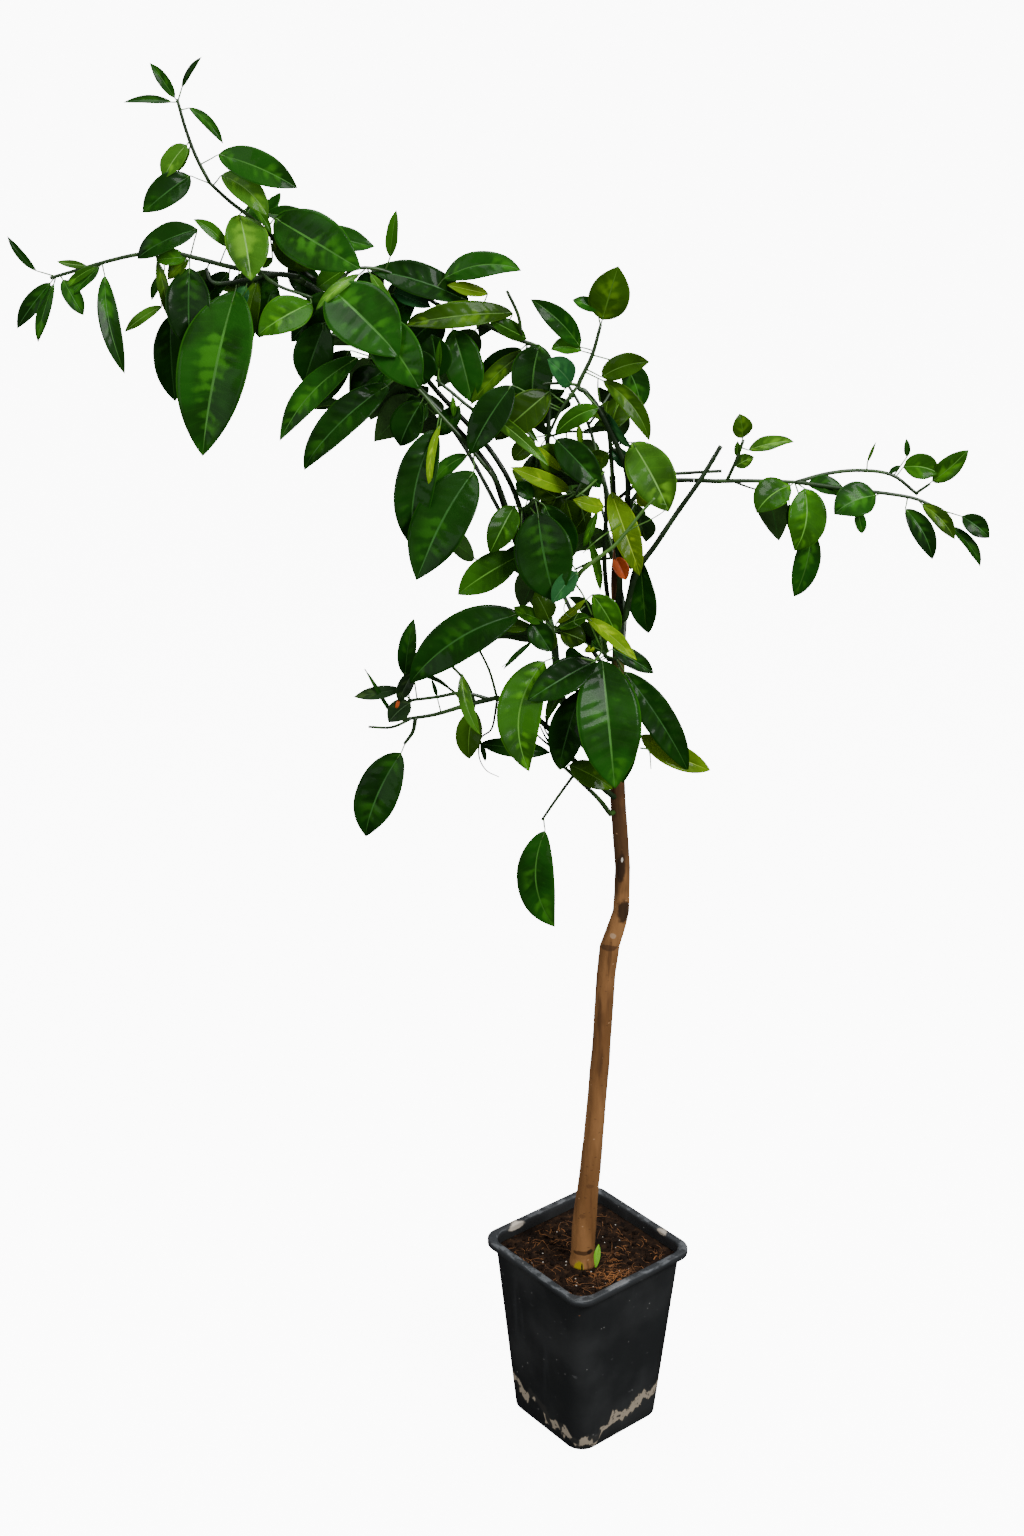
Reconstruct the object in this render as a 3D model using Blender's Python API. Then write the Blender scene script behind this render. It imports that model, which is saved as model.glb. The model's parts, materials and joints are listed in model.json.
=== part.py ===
"""Potted sweet orange tree: a young grafted tree in a square nursery pot.

Metres, +Z up. The origin is the middle of the pot's flat underside and the tree faces -Y.
Directions are told as a clock hand seen from the front (12 up, 3 towards +X) and a lean towards the front.
"""

import math
import random
from typing import NamedTuple

import bmesh
import bpy
from mathutils import Matrix, Vector
from mathutils.bvhtree import BVHTree

CM = 0.01
MM = 0.001
GAP = 0.3 * MM
SEED = 7

# Pot: a square 15 cm nursery pot that stands turned, with one corner towards the front
POT_HEIGHT = 19.6 * CM
POT_TURN = math.radians(39.4)
RIM_HALF = 7.5 * CM
RIM_CORNER = 1.8 * CM
LIP_TALL = 0.75 * CM
UNDER_LIP_HALF = 6.9 * CM
FOOT_HALF = 5.5 * CM
FOOT_CORNER = 1.85 * CM
WALL = 1.6 * MM
FLOOR = 2.5 * MM
EDGE = 0.8 * MM
CORNER_STEPS = 5
DRAIN_RADIUS = 5.0 * MM
DRAIN_OUT = 3.4 * CM

# Soil: its top, how uneven it is, and the level place round the trunk
SOIL_TOP = 18.2 * CM
SOIL_BUMP = 3.5 * MM
SOIL_RINGS = (0.18, 0.34, 0.5, 0.66, 0.82)
SOIL_LEVEL_TO = 0.25

TRUNK_SIDES = 14
BOUGH_SIDES = 7
STEM_SIDES = 5
TWIG_SIDES = 3

# Trunk: height, x and y of its middle, and diameter, in cm. It flares at the soil and jogs at the old graft
TRUNK = [
    (18.2, -0.5, -1.7, 2.65), (19.2, -0.5, -1.6, 2.3), (22.0, -0.4, -1.4, 2.35), (25.0, -0.2, -1.2, 2.2),
    (28.0, 0.1, -1.0, 2.05), (32.0, 0.4, -0.8, 1.9), (41.0, 1.0, -0.4, 1.8), (49.2, 1.35, -0.2, 1.75),
    (52.0, 1.65, -0.1, 1.9), (53.8, 2.2, 0.0, 1.78), (55.6, 2.65, 0.0, 1.52), (60.0, 2.7, 0.0, 1.4),
    (66.6, 2.15, 0.0, 1.4), (72.0, 1.95, 0.0, 1.25), (78.0, 2.0, 0.0, 1.15), (82.0, 1.9, 0.0, 1.05),
]


class Bough(NamedTuple):
    """A limb: its parent, the height in cm where it leaves it (None: at its tip), the side it leaves on in
    degrees from +X, the points it bends through in cm, its diameters at foot and tip in mm, how much a knot
    at its tip adds, and whether it ends bare, with no mass."""

    parent: str
    height: float
    side: float
    route: list
    foot: float
    tip: float
    knot: float = 0.0
    bare: bool = False


BOUGHS = {
    "left_leader": Bough("trunk", 69.6, 196, [
        (-1.6, -1.2, 73.4), (-3.2, -1.6, 77.6), (-3.8, -1.8, 82.4), (-5.0, -1.9, 87.2), (-6.7, -2.0, 92.2),
        (-6.6, -2.6, 94.2),
    ], 7.5, 5.2, 3.6),
    "low_cane": Bough("left_leader", 91.0, 228, [
        (-7.9, -3.0, 94.6), (-8.7, -3.3, 96.8), (-9.7, -3.5, 98.2), (-10.4, -3.5, 99.1),
    ], 3.8, 3.3),
    "long_cane": Bough("left_leader", 89.2, 168, [
        (-7.8, -1.2, 93.2), (-8.9, -1.0, 96.6), (-10.7, -0.7, 99.1), (-13.1, -0.4, 101.7),
        (-15.4, -0.1, 104.0), (-19.4, 0.6, 108.0),
        (-22.5, 0.9, 111.1), (-24.9, 1.0, 112.7), (-26.1, 1.1, 113.1),
    ], 4.8, 4.4),
    "high_cane": Bough("left_leader", 91.0, 88, [
        (-6.6, 0.8, 93.0), (-7.7, 1.3, 95.8), (-9.4, 1.9, 98.4), (-11.5, 2.4, 100.7),
        (-13.7, 2.8, 103.0), (-17.6, 3.0, 107.4), (-22.2, 3.0, 111.2),
        (-25.0, 2.7, 113.3), (-26.3, 2.8, 114.9), (-27.3, 2.8, 116.0),
    ], 4.2, 3.6),
    "mid_cane": Bough("left_leader", 91.6, 52, [
        (-4.7, -0.8, 96.4), (-4.4, -0.4, 99.6), (-4.3, 0.4, 103.3), (-4.7, 0.8, 106.0), (-5.4, 0.8, 107.3),
    ], 3.8, 3.3),
    "upright_cane": Bough("trunk", None, 0, [
        (1.9, 0.0, 84.5), (1.8, 0.0, 88.0), (1.6, 0.0, 91.0), (1.3, 0.0, 94.0), (1.0, 0.0, 98.2),
    ], 7.6, 4.4),
    "inner_cane": Bough("upright_cane", 83.6, 215, [
        (0.8, -1.0, 86.4), (0.5, -1.4, 89.8), (0.6, -1.4, 93.8), (0.4, -1.5, 96.0), (-0.3, -1.7, 97.1),
    ], 3.8, 3.0),
    "centre_cane": Bough("upright_cane", 88.6, 325, [
        (2.3, -1.1, 92.8), (2.4, -1.5, 95.6), (2.2, -1.7, 97.4), (1.6, -1.8, 99.0), (0.8, -1.9, 100.7),
        (-0.1, -2.0, 102.4), (-0.9, -2.0, 103.6), (-1.9, -2.0, 104.6),
    ], 4.4, 4.0),
    "right_cane": Bough("upright_cane", 92.6, 8, [
        (3.8, 0.5, 95.2), (6.8, 0.6, 95.9), (9.9, 0.3, 95.9),
    ], 3.8, 3.2),
    "upper_stub": Bough("upright_cane", 94.4, 345, [
        (4.1, -0.8, 96.5), (6.8, -1.0, 96.9), (10.3, -1.0, 97.1),
    ], 2.8, 2.2, 0.0, True),
    "pruned_stub": Bough("upright_cane", 83.8, 312, [
        (2.9, -1.2, 87.0), (3.6, -1.5, 89.0), (4.7, -1.8, 90.7), (6.6, -2.2, 93.9), (8.4, -2.4, 96.7),
        (10.0, -2.5, 99.6),
    ], 5.4, 3.4, 0.0, True),
    "low_left_cane": Bough("trunk", 67.2, 238, [
        (-1.6, -1.9, 70.8), (-4.6, -2.3, 74.8), (-8.7, -3.3, 77.6),
    ], 4.8, 4.2),
    "back_left_cane": Bough("trunk", 77.4, 118, [(-1.0, 3.6, 81.0), (-3.4, 7.4, 85.0)], 4.2, 3.0),
    "back_right_cane": Bough("trunk", 79.4, 72, [(2.6, 3.6, 83.0), (2.0, 6.4, 86.0)], 4.2, 3.0),
    "back_high_cane": Bough("left_leader", 87.6, 96, [
        (-8.4, 2.4, 92.6), (-11.4, 4.8, 97.6), (-14.6, 6.0, 102.0),
    ], 3.6, 2.8),
    "back_centre_cane": Bough("upright_cane", 90.0, 104, [(1.0, 3.0, 93.6), (0.0, 5.0, 97.0)], 3.4, 2.8),
}


class Leaf(NamedTuple):
    """A leaf: where it leaves its shoot (0 foot, 1 tip), its clock hand, length and width in cm, lean, tone,
    how many hours its hand turns from foot to tip, and its own stalk's hand and length where it has one."""

    at: float
    clock: float
    long: float
    wide: float
    lean: float = 10.0
    tone: str = "deep"
    sweep: float = 0.0
    stalk: tuple = ()


class Shoot(NamedTuple):
    """A twig: the twig it leaves and where, its length in cm, the clock hands and leans it runs through, its
    leaves, how many seeded leaves stand on its far side, and its diameter at the foot in mm."""

    on: str
    at: float
    long: float
    clock: tuple
    lean: tuple
    leaves: list
    spare: int = 0
    thick: float = 2.4


# Mass: the bough whose tip, or the trunk height in cm where, its stem begins, and its shoots, stem first
MASSES = {
    "skirt": (80.4, {
        "stem": Shoot("", 0, 3.4, (9.3, 11.6), (74, 24), [
            Leaf(0.66, 5.8, 11.1, 5.7, 24, "mid", -0.2, (7.9, 0.5)),
            Leaf(0.76, 8.2, 8.1, 3.1, 24, "deep", -0.2), Leaf(0.03, 4.9, 12.2, 3, 6, "deep", 0.3),
            Leaf(0.03, 3.9, 7.2, 2.3, 2, "lime", -0.6, (5.4, 7.5)), Leaf(0.33, 5.8, 11.7, 3.7, 0),
            Leaf(0.5, 6.5, 7.5, 3.3, 8, "deep", 0, (7.4, 3.7)),
            Leaf(0.98, 4.2, 5.5, 1.4, 24, "lime", 0.2, (11.3, 4)),
            Leaf(0.98, 8.5, 1, 0.7, 20, "lime", 0, (10, 0.8)), Leaf(0.98, 10.6, 1.4, 1.5),
            Leaf(0.81, 4, 4.2, 1.7, 4, "deep", 0.2, (1.7, 0.8)),
        ], 5, 3),
    }),
    "waist": (74.4, {
        "stem": Shoot("", 0, 11.6, (10.7, 10.7, 10.6, 11.6, 12.2), (22, 27, 10, 4, -2), [
            Leaf(0.98, 8, 11.2, 4, 12, "deep", -1.2, (10, 3.5)),
            Leaf(0.77, 6.3, 9.6, 4, 26, "bright", -2.4, (8.5, 1.1)),
            Leaf(0.9, 7.6, 3.4, 0.5, 14, "deep", -0.4, (9.1, 2)),
            Leaf(0.98, 4.9, 3.1, 2.2, 10, "deep", 0, (9.9, 2.2)), Leaf(0.98, 6.6, 2, 1.3, 8, "olive"),
            Leaf(0.98, 3.7, 2.4, 2.4, 4, "olive", 0, (2.9, 0.5)),
            Leaf(0.98, 9, 2.7, 1.3, 4, "olive", 0, (9.4, 2.2)),
            Leaf(0.98, 9.9, 3, 1.5, 8, "bright", 0.5, (10.6, 1.3)),
            Leaf(0.98, 11.1, 2.8, 2.1, -6, "olive", 0, (11.2, 1)),
            Leaf(0.98, 1.5, 3.5, 0.7, 14, "lime", -0.6, (0.5, 0.8)),
            Leaf(0.98, 2.1, 3.5, 1.4, 14, "bright", 0.5),
            Leaf(0.98, 5, 4.3, 2.4, 2, "bright", 0.4, (1.5, 4.6)), Leaf(0.53, 6.9, 4.3, 1.4, -4, "bright"),
        ], 4, 3),
    }),
    "middle": ("left_leader", {
        "stem": Shoot("", 0, 2, (2.2, 0.9), (35, 26), [
            Leaf(0.98, 5.6, 8.7, 5, 18, "deep", -0.3),
            Leaf(0.03, 7, 4.6, 2.5, 26, "bright", -0.3, (10.1, 0.8)),
            Leaf(0.03, 8, 6.2, 3, 12, "bright", -0.3, (6.1, 3.9)),
            Leaf(0.5, 7.4, 3.4, 1.7, 22, "teal", -0.5, (4.7, 6.9)),
            Leaf(0.98, 5.2, 5.6, 3, -8, "deep", 0, (4.2, 0.9)), Leaf(0.94, 10.4, 2.2, 1.5, -4),
        ], 3, 2.6),
    }),
    "left_arm": ("long_cane", {
        "stem": Shoot("", 0, 19.6, (9.1, 9.4, 9.6, 8.7, 8.5, 8.5), (-3, 2, 6, 7, 7, 9), [
            Leaf(0.2, 6.4, 15.9, 6.3, 24, "mid", 0.1), Leaf(0.41, 6, 7.6, 3.8, 18, "deep", -0.2),
            Leaf(0.42, 6, 7.1, 3, 2, "deep", -0.3, (6.6, 5.1)),
            Leaf(0.98, 10.8, 3.5, 0.7, 5, "deep", 0.6, (9.6, 1.6)),
            Leaf(0.98, 7.3, 5.3, 1.6, 10, "deep", -0.2), Leaf(0.98, 6.6, 5.6, 1.1, 14, "mid", -0.4),
            Leaf(0.96, 5, 3.7, 1.6, 12, "mid", -0.3), Leaf(0.83, 9.3, 2.7, 0.7, 4, "pale", 0.6),
            Leaf(0.78, 7.9, 3.8, 0.8, 12, "bright", -0.4), Leaf(0.77, 7.6, 3.9, 1.2, 16, "mid", 0.8),
            Leaf(0.78, 5.6, 9.2, 1.8, 18, "mid", -0.9),
            Leaf(0.55, 7.9, 3.7, 1.1, 8, "pale", -0.3, (5.9, 4.3)),
            Leaf(0.55, 5.7, 5.3, 1, 8, "olive", 0.6), Leaf(0.41, 8.9, 2.8, 1.5, 15, "bright", 0.4),
            Leaf(0.41, 8.2, 5.5, 2.6, 8, "deep", -0.1, (0.6, 2.4)),
            Leaf(0.28, 10.4, 3.4, 1.1, 8, "bright", -1, (0.8, 1.6)),
            Leaf(0.15, 6.9, 2.3, 1.4, 16, "teal", 0, (6.5, 1.3)),
            Leaf(0.12, 6.3, 6.4, 1.8, 6, "olive", -0.8),
            Leaf(0.19, 9.8, 2.8, 1.2, -4, "olive", 0.4, (6.5, 1.8)), Leaf(0.04, 6.6, 5.7, 2.7, -6),
            Leaf(0.24, 7.4, 3.3, 1.8, -4, "deep", 0, (6.4, 0.5)), Leaf(0.4, 7.6, 2.7, 1.4, 4, "olive"),
            Leaf(0.03, 7.6, 2, 2.2, -6), Leaf(0.52, 6.9, 2.8, 0.8, -6, "deep", 0, (6, 1.5)),
        ], 5, 4.4),
        "green_twig": Shoot("stem", 0.11, 5.8, (3.8, 3.8, 3.6, 3.5), (60, 43, 10, 12), [
            Leaf(0.98, 8.1, 5.2, 3.6, 22, "bright", 0.3, (5.6, 0.5)),
        ], 0, 2.6),
    }),
    "crest": ("high_cane", {
        "stem": Shoot("", 0, 6.6, (10.7, 10.2, 10.4, 10.5), (10, 5, 4, 4), [
            Leaf(0.98, 7.8, 4.9, 2.7, 20, "deep", 0.1, (9.8, 1.8)),
            Leaf(0.94, 4.3, 5.1, 2.2, 15, "pale", 1.3, (1.4, 1.2)),
            Leaf(0.46, 4.8, 3.1, 0.7, 16, "bright", 0.8, (1.4, 1)),
            Leaf(0.49, 5.6, 5.7, 3.8, 28, "pale", 0, (7.4, 0.4)),
            Leaf(0.12, 3.9, 8.7, 4.6, 22, "mid", -0.2, (1.4, 1.5)),
            Leaf(0.03, 3.5, 5.3, 2.2, -2, "mid", -0.6, (2.8, 3.5)),
            Leaf(0.23, 3.4, 4.5, 1.8, -2, "mid", 0.3, (1.4, 1.1)),
            Leaf(0.03, 7.5, 1.2, 0.7, 20, "bright", 0, (5.8, 1.9)),
            Leaf(0.03, 4, 4.2, 2.7, 4, "olive", -0.3, (5.3, 0.5)),
            Leaf(0.03, 7.9, 2.9, 2, 4, "bright", 0, (3.8, 6.7)),
            Leaf(0.03, 4.8, 4.1, 2.5, -10, "deep", 0, (4.9, 2.8)),
        ], 4, 3.4),
        "leader": Shoot("stem", 1, 7, (11.1, 11.2, 11.4, 11.6, 11.5), (7, 4, 2, 4, 0), [
            Leaf(0.98, 10.9, 3.7, 1, 8, "mid"), Leaf(0.98, 9, 4.3, 0.8, 8, "deep", -0.6),
            Leaf(0.98, 1.2, 2.9, 0.6, 5, "deep", 0, (0.7, 1.2)),
            Leaf(0.89, 4.5, 3.9, 0.9, 12, "mid", 1, (2.6, 0.8)),
            Leaf(0.54, 7.2, 3.8, 1.9, 18, "pale", -0.6), Leaf(0.49, 7, 2.5, 0.7, 4, "bright", 0.6),
            Leaf(0.25, 3.7, 7, 2.8, 10, "mid", 0.3, (2.1, 1.8)),
        ], 0, 2.6),
    }),
    "left_drape": ("low_cane", {
        "stem": Shoot("", 0, 11.3, (10.7, 10.6, 10.6, 10.7, 10.2, 10), (-6, 2, -5, -10, -4, -12), [
            Leaf(0.03, 7, 10.3, 5, 26, "deep", -0.2, (6, 1.6)), Leaf(0.04, 7.7, 4.6, 1.4, 14, "mid", -1.4),
            Leaf(0.4, 6.4, 11.2, 3.5, 14, "deep", -1), Leaf(0.38, 6.3, 6.4, 0.7, 26, "lime", -0.8),
            Leaf(0.58, 6.9, 4.7, 3.1, 2, "deep", -0.3), Leaf(0.81, 7.6, 11.5, 3, 16, "deep", -0.4),
            Leaf(0.98, 7.5, 9.3, 2.4, 12, "mid", -1.1, (9.2, 1.9)),
            Leaf(0.98, 6.7, 5.4, 3.3, -2, "deep", 0, (10.1, 5.4)),
            Leaf(0.98, 7.2, 5.8, 2.8, -6, "deep", 0, (9.5, 2.7)),
            Leaf(0.84, 8.6, 2.4, 1, 6, "mid", 0, (7.1, 0.8)),
            Leaf(0.98, 4.8, 6.9, 4, 20, "mid", 0.2, (11.7, 3.9)),
            Leaf(0.81, 5.5, 3.1, 2.8, -2, "deep", 0, (1.1, 2.2)), Leaf(0.52, 7.6, 2.5, 2.8, -10),
            Leaf(0.91, 7.5, 4.5, 3, -6),
        ], 6, 3.2),
        "twig_b": Shoot("stem", 0, 8, (13.6, 12.3, 10.7, 10.3, 10.3, 10.3), (-17, -16, -3, -3, -5, -3), [
            Leaf(0.98, 0.1, 2.4, 0.5, 10, "bright", 0, (0.2, 1.1)),
            Leaf(0.52, 4.2, 7.9, 1.2, 18, "pale", 0.6, (1.4, 0.5)),
            Leaf(0.34, 4.6, 3.3, 0.7, 10, "bright", 0, (2.2, 2.6)), Leaf(0.79, 5.9, 2, 0.5, 8, "bright"),
            Leaf(0.65, 7.2, 3.7, 1.8, -8), Leaf(0.95, 11.7, 4, 2.8, -6),
        ], 0, 2.6),
    }),
    "high_fringe": ("mid_cane", {
        "stem": Shoot("", 0, 19, (9.6, 9.9, 9.7, 10.4, 9.3, 7), (10, 2, 5, 0, 18, 10), [
            Leaf(0.83, 7.8, 5.4, 0.9, 26, "pale", -0.4), Leaf(0.82, 4.8, 3.8, 0.9, 20, "pale", -0.2),
            Leaf(0.74, 0.3, 3.8, 1.1, 5, "bright", -0.2, (0.7, 1.3)),
            Leaf(0.52, 2.7, 6.6, 2.4, 10, "mid", 1.2, (1.3, 2.1)),
            Leaf(0.29, 9.5, 3.5, 1.2, 14, "lime", 0.6, (0.7, 2.6)),
            Leaf(0.16, 8.9, 9.2, 2.4, 16, "olive", 0.1, (0.8, 2)),
            Leaf(0.35, 9.6, 8.6, 3.1, 2, "deep", -0.1, (0.7, 1.2)),
            Leaf(0.37, 5.5, 6.2, 3.3, 10, "mid", 0.2, (6.8, 1.4)),
            Leaf(0.06, 10, 3.8, 1.7, 18, "bright", 0.4, (1.2, 0.4)),
            Leaf(0.03, 6.2, 5.6, 3.7, 24, "mid", -0.6, (3.1, 0.9)),
            Leaf(0.04, 7.6, 6.1, 2.3, -2, "deep", -0.4),
            Leaf(0.04, 7.6, 6.4, 1.6, 16, "olive", -0.5, (6.6, 0.7)),
            Leaf(0.68, 3.7, 3.3, 1.6, 4, "teal", 0, (6.7, 1.2)),
            Leaf(0.98, 4.3, 8.5, 5.7, 32, "mid", 0, (7.8, 0.5)),
            Leaf(0.44, 7.6, 3.9, 2.8, -6, "deep", 0, (6.9, 0.8)), Leaf(0.56, 7.7, 5.3, 3, -8),
            Leaf(0.98, 7.4, 5.6, 2.6, -6, "deep", 0, (6.5, 0.6)), Leaf(0.73, 7.6, 3.5, 2.5, -6),
        ], 6, 3.2),
        "spur": Shoot("stem", 0.07, 4.7, (12.1, 11.7, 11.2, 11.2), (31, 20, 7, 8), [], 0, 2.6),
    }),
    "centre_top": ("centre_cane", {
        "stem": Shoot("", 0, 5.3, (0.4, 0.8, 0.9, 0.5, 0.1), (0, 0, 0, 0, 0), [
            Leaf(0.98, 0.5, 5.3, 3.4, 10, "olive", 0.1),
            Leaf(0.61, 10.5, 5.8, 2, 10, "mid", -0.6, (9.6, 1.2)),
            Leaf(0.98, 9.7, 2.2, 1.4, 10, "mid", 0.8, (11.6, 1.5)),
            Leaf(0.55, 9.2, 2.6, 1.6, 14, "bright", -1.6, (9.6, 1)),
            Leaf(0.03, 10.6, 3.2, 2.5, 20, "teal", 0, (9.2, 0.7)),
            Leaf(0.29, 2.3, 4.2, 2.1, 14, "olive", 0.9, (3.8, 1.5)),
            Leaf(0.52, 5.3, 4.1, 2.5, 0, "mid", 1, (3.5, 2.7)),
            Leaf(0.23, 4.7, 6.3, 1.7, 10, "olive", 1.4, (3.8, 1.7)),
        ], 4, 4),
        "low_twig": Shoot("stem", 0, 4.9, (7.4, 6.7), (9, 10), [
            Leaf(0.51, 7.1, 6.6, 3.1, 8, "deep", -0.3, (9.9, 4.6)),
            Leaf(0.56, 7, 4.5, 2.8, -2, "olive", 0, (9.8, 3.4)),
            Leaf(0.41, 7.7, 5.7, 3, 8, "olive", 0, (10.3, 1.7)),
            Leaf(0.98, 7.4, 2.8, 1.7, -8, "olive", 0, (8.6, 1.2)),
            Leaf(0.96, 4.5, 6.3, 2.8, 14, "deep", 0.2), Leaf(0.17, 6.6, 0.4, 0.7, 12),
            Leaf(0.98, 4.8, 2.9, 2.5, -6, "olive", 0, (7.1, 1.2)),
        ], 0),
        "side_twig": Shoot("stem", 0, 3, (9.4, 8.8), (7, 8), [
            Leaf(0.03, 8, 4.2, 1.7, 10, "bright", -1.6, (4.6, 2.5)),
        ], 0, 2.2),
    }),
    "centre_mid": ("inner_cane", {
        "stem": Shoot("", 0, 2.5, (8.6, 6.5), (15, 8), [
            Leaf(0.98, 9.9, 6.7, 1.5, 22, "lime", 0.4),
            Leaf(0.98, 10.1, 4.5, 2.3, 4, "olive", 0, (8.5, 1.8)),
            Leaf(0.96, 9.7, 3.1, 1.4, 26, "lime", 0.9, (3.8, 2.7)),
            Leaf(0.65, 10.4, 4, 0.8, 14, "lime", -0.3, (10.1, 2.2)), Leaf(0.51, 11, 3, 1.8, -4, "teal"),
            Leaf(0.98, 7.1, 2.8, 1.9, -6, "olive", 0, (4.7, 1.9)),
            Leaf(0.98, 6.7, 3.3, 0.7, 8, "bright", 0, (4.4, 2.4)),
            Leaf(0.98, 5.6, 4.7, 0.8, 0, "bright", 0.3, (5.5, 4.3)),
            Leaf(0.03, 11.8, 1.8, 0.6, -6, "olive", 0, (11, 2.7)),
            Leaf(0.98, 6.8, 3.1, 2.2, -12, "olive", 0, (9.2, 1.4)),
            Leaf(0.98, 5.5, 2.7, 2, -8, "olive", 0, (7.8, 1.1)),
        ], 4, 2.8),
    }),
    "centre_right": ("upright_cane", {
        "stem": Shoot("", 0, 4.8, (11.9, 11.7, 11.5, 11.5), (22, 18, 15, 16), [
            Leaf(0.98, 4.8, 4.2, 1.1, 10, "teal", -0.2), Leaf(0.25, 5, 6.7, 3.9, 22, "pale", 0.2, (2.6, 2)),
            Leaf(0.03, 5.3, 7.6, 2.4, 24, "lime", -0.3, (6, 3.2)), Leaf(0.21, 4.6, 2.6, 1.4, 4, "teal"),
            Leaf(0.12, 7.4, 2.5, 1.9, -8, "olive"),
        ], 4, 3.4),
        "drop_twig": Shoot("stem", 0.18, 10.3, (3.6, 4.5, 5.9, 5.8, 5.9, 6), (24, 22, 7, -2, -12, -17), [
            Leaf(0.98, 5.8, 8, 2.8, 8, "mid", 0.5), Leaf(0.42, 4, 2.2, 2.9, 6, "lime", 0.2),
        ], 0),
    }),
    "right_arm": ("right_cane", {
        "stem": Shoot("", 0, 7, (2.9, 3.1), (6, -1), [
            Leaf(0.98, 7.9, 4.4, 3, 24, "bright", -1), Leaf(0.98, 6.3, 5.4, 3.5, 20, "bright", 1.3, (4, 1)),
            Leaf(0.98, 6.4, 6.1, 2.3, 4, "mid", 0.9, (5.3, 4.4)),
            Leaf(0.92, 5.6, 2.9, 1.2, -8, "deep", 0, (5.9, 2.1)),
        ], 1, 3.4),
        "upshoot": Shoot("stem", 0.14, 3.9, (12.6, 12.7, 12.9, 11.6), (16, 11, 0, 0), [
            Leaf(0.98, 11.7, 2.5, 1.8, 8, "olive"), Leaf(0.38, 2, 2, 1.3, 10, "pale"),
            Leaf(0.83, 2.5, 3.9, 1.4, 12, "pale", 0.4, (3.5, 0.7)), Leaf(0.6, 12, 1.5, 0.6, 4, "bright"),
        ], 0, 2.6),
        "upper": Shoot("stem", 1, 11.1, (2.3, 2.8, 2.9, 3.6, 4.8), (-7, -9, 0, 7, 3), [
            Leaf(0.56, 0.6, 1.9, 0.3, 5, "pale", 0, (12, 0.8)), Leaf(0.72, 1.7, 1.3, 0.5, 5),
            Leaf(0.79, 3.3, 3.1, 2.3, 6, "bright", 1.3, (1.1, 1.1)),
            Leaf(0.77, 11.8, 1.6, 0.6, 5, "mid", 0, (1, 2)),
        ], 1, 3),
        "lower": Shoot("stem", 1, 12.9, (3.2, 3.2, 3.2, 3.4, 4.1), (11, 7, 2, -1, 0), [
            Leaf(0.04, 3.6, 3.9, 1.7, 2, "mid", 1.6), Leaf(0.57, 8.4, 4.7, 3.2, 20, "mid", -0.8),
            Leaf(0.42, 5.5, 2, 1.1, 5, "mid", 0, (6.1, 1.8)),
            Leaf(0.75, 5, 4.9, 1.9, 15, "deep", 1, (6.3, 1)), Leaf(0.81, 4.5, 4.6, 1.5, 16, "olive", 0.8),
            Leaf(0.98, 4.7, 4.3, 1.2, 10, "deep", 0.7, (4.8, 1.8)),
            Leaf(0.98, 4.2, 3, 1.8, 10, "deep", 0.3, (3.5, 2)),
        ], 2, 3.2),
        "fork": Shoot("upper", 1, 1.4, (1.8, 1.8), (0, 0), [
            Leaf(0.84, 1.4, 4.6, 1.9, 12, "bright", -0.8),
        ], 0, 2.2),
    }),
    "low_left": ("low_left_cane", {
        "stem": Shoot("", 0, 8.5, (8.6, 8.5, 8.4, 9), (3, 4, 1, -1), [
            Leaf(0.61, 11.5, 1.7, 0.4, 5, "deep", 0, (11.6, 1.6)),
            Leaf(0.24, 6.2, 5, 2.4, 12, "olive", -0.8),
            Leaf(0.28, 3.3, 6.3, 1.7, -4, "deep", 0, (5.6, 3.9)),
            Leaf(0.28, 5.6, 1.8, 0.5, 8, "deep", 0, (5.5, 3.5)),
        ], 2, 4.2),
        "upper_twig": Shoot("stem", 0.07, 7.3, (10.2, 8.9, 8.5, 9), (11, 2, -2, 2), [
            Leaf(0.98, 0.3, 5.3, 1.7, 2, "deep", 0.1, (11.7, 2.3)),
            Leaf(0.98, 8.7, 4.1, 1.2, 2, "dull", 0, (10.7, 1.3)),
            Leaf(0.94, 7.7, 2.9, 1.9, 18, "dull", -0.6), Leaf(0.91, 6.9, 3, 1.4, 6, "dull", 0, (11.8, 2.7)),
            Leaf(0.98, 11.1, 4.8, 0.4, 2, "deep", 0, (7.8, 2.2)),
            Leaf(0.34, 5.4, 5.5, 1.2, 22, "pale", -1.1, (11.9, 2.2)),
        ], 0, 3),
        "steep_twig": Shoot("stem", 0.23, 4.4, (11.6, 10.4), (8, 2), [], 0),
        "thin_twig": Shoot("stem", 0, 5.6, (11.7, 11), (8, 3), [], 0, 1.8),
        "drop_twig": Shoot("stem", 0.86, 2.7, (6, 7.5), (0, 0), [
            Leaf(0.94, 6.8, 9.4, 4, 10, "deep", -0.6),
        ], 0, 3.4),
        "curl_twig": Shoot("stem", 0.89, 4, (7.3, 8.6, 9.1, 8.9), (16, 9, 1, 0), [], 0, 2.2),
    }),
    "low_hang": (65.6, {
        "stem": Shoot("", 0, 8.1, (11, 11, 10.7, 10.7, 10.3), (29, 28, 20, 15, 13), [
            Leaf(0.93, 3.9, 4.4, 2.3, 10, "olive", 0.3, (1.4, 0.5)),
        ], 0, 4.4),
        "drop_twig": Shoot("stem", 0.79, 4.9, (7.3, 7), (20, -6), [
            Leaf(0.98, 5.8, 10.1, 3.4, 10, "mid", -2.1),
        ], 0, 2.2),
    }),
    "back_left": ("back_left_cane", {
        "stem": Shoot("", 0, 8.0, (10.5, 11.2), (-40, -25), [], 7),
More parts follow.
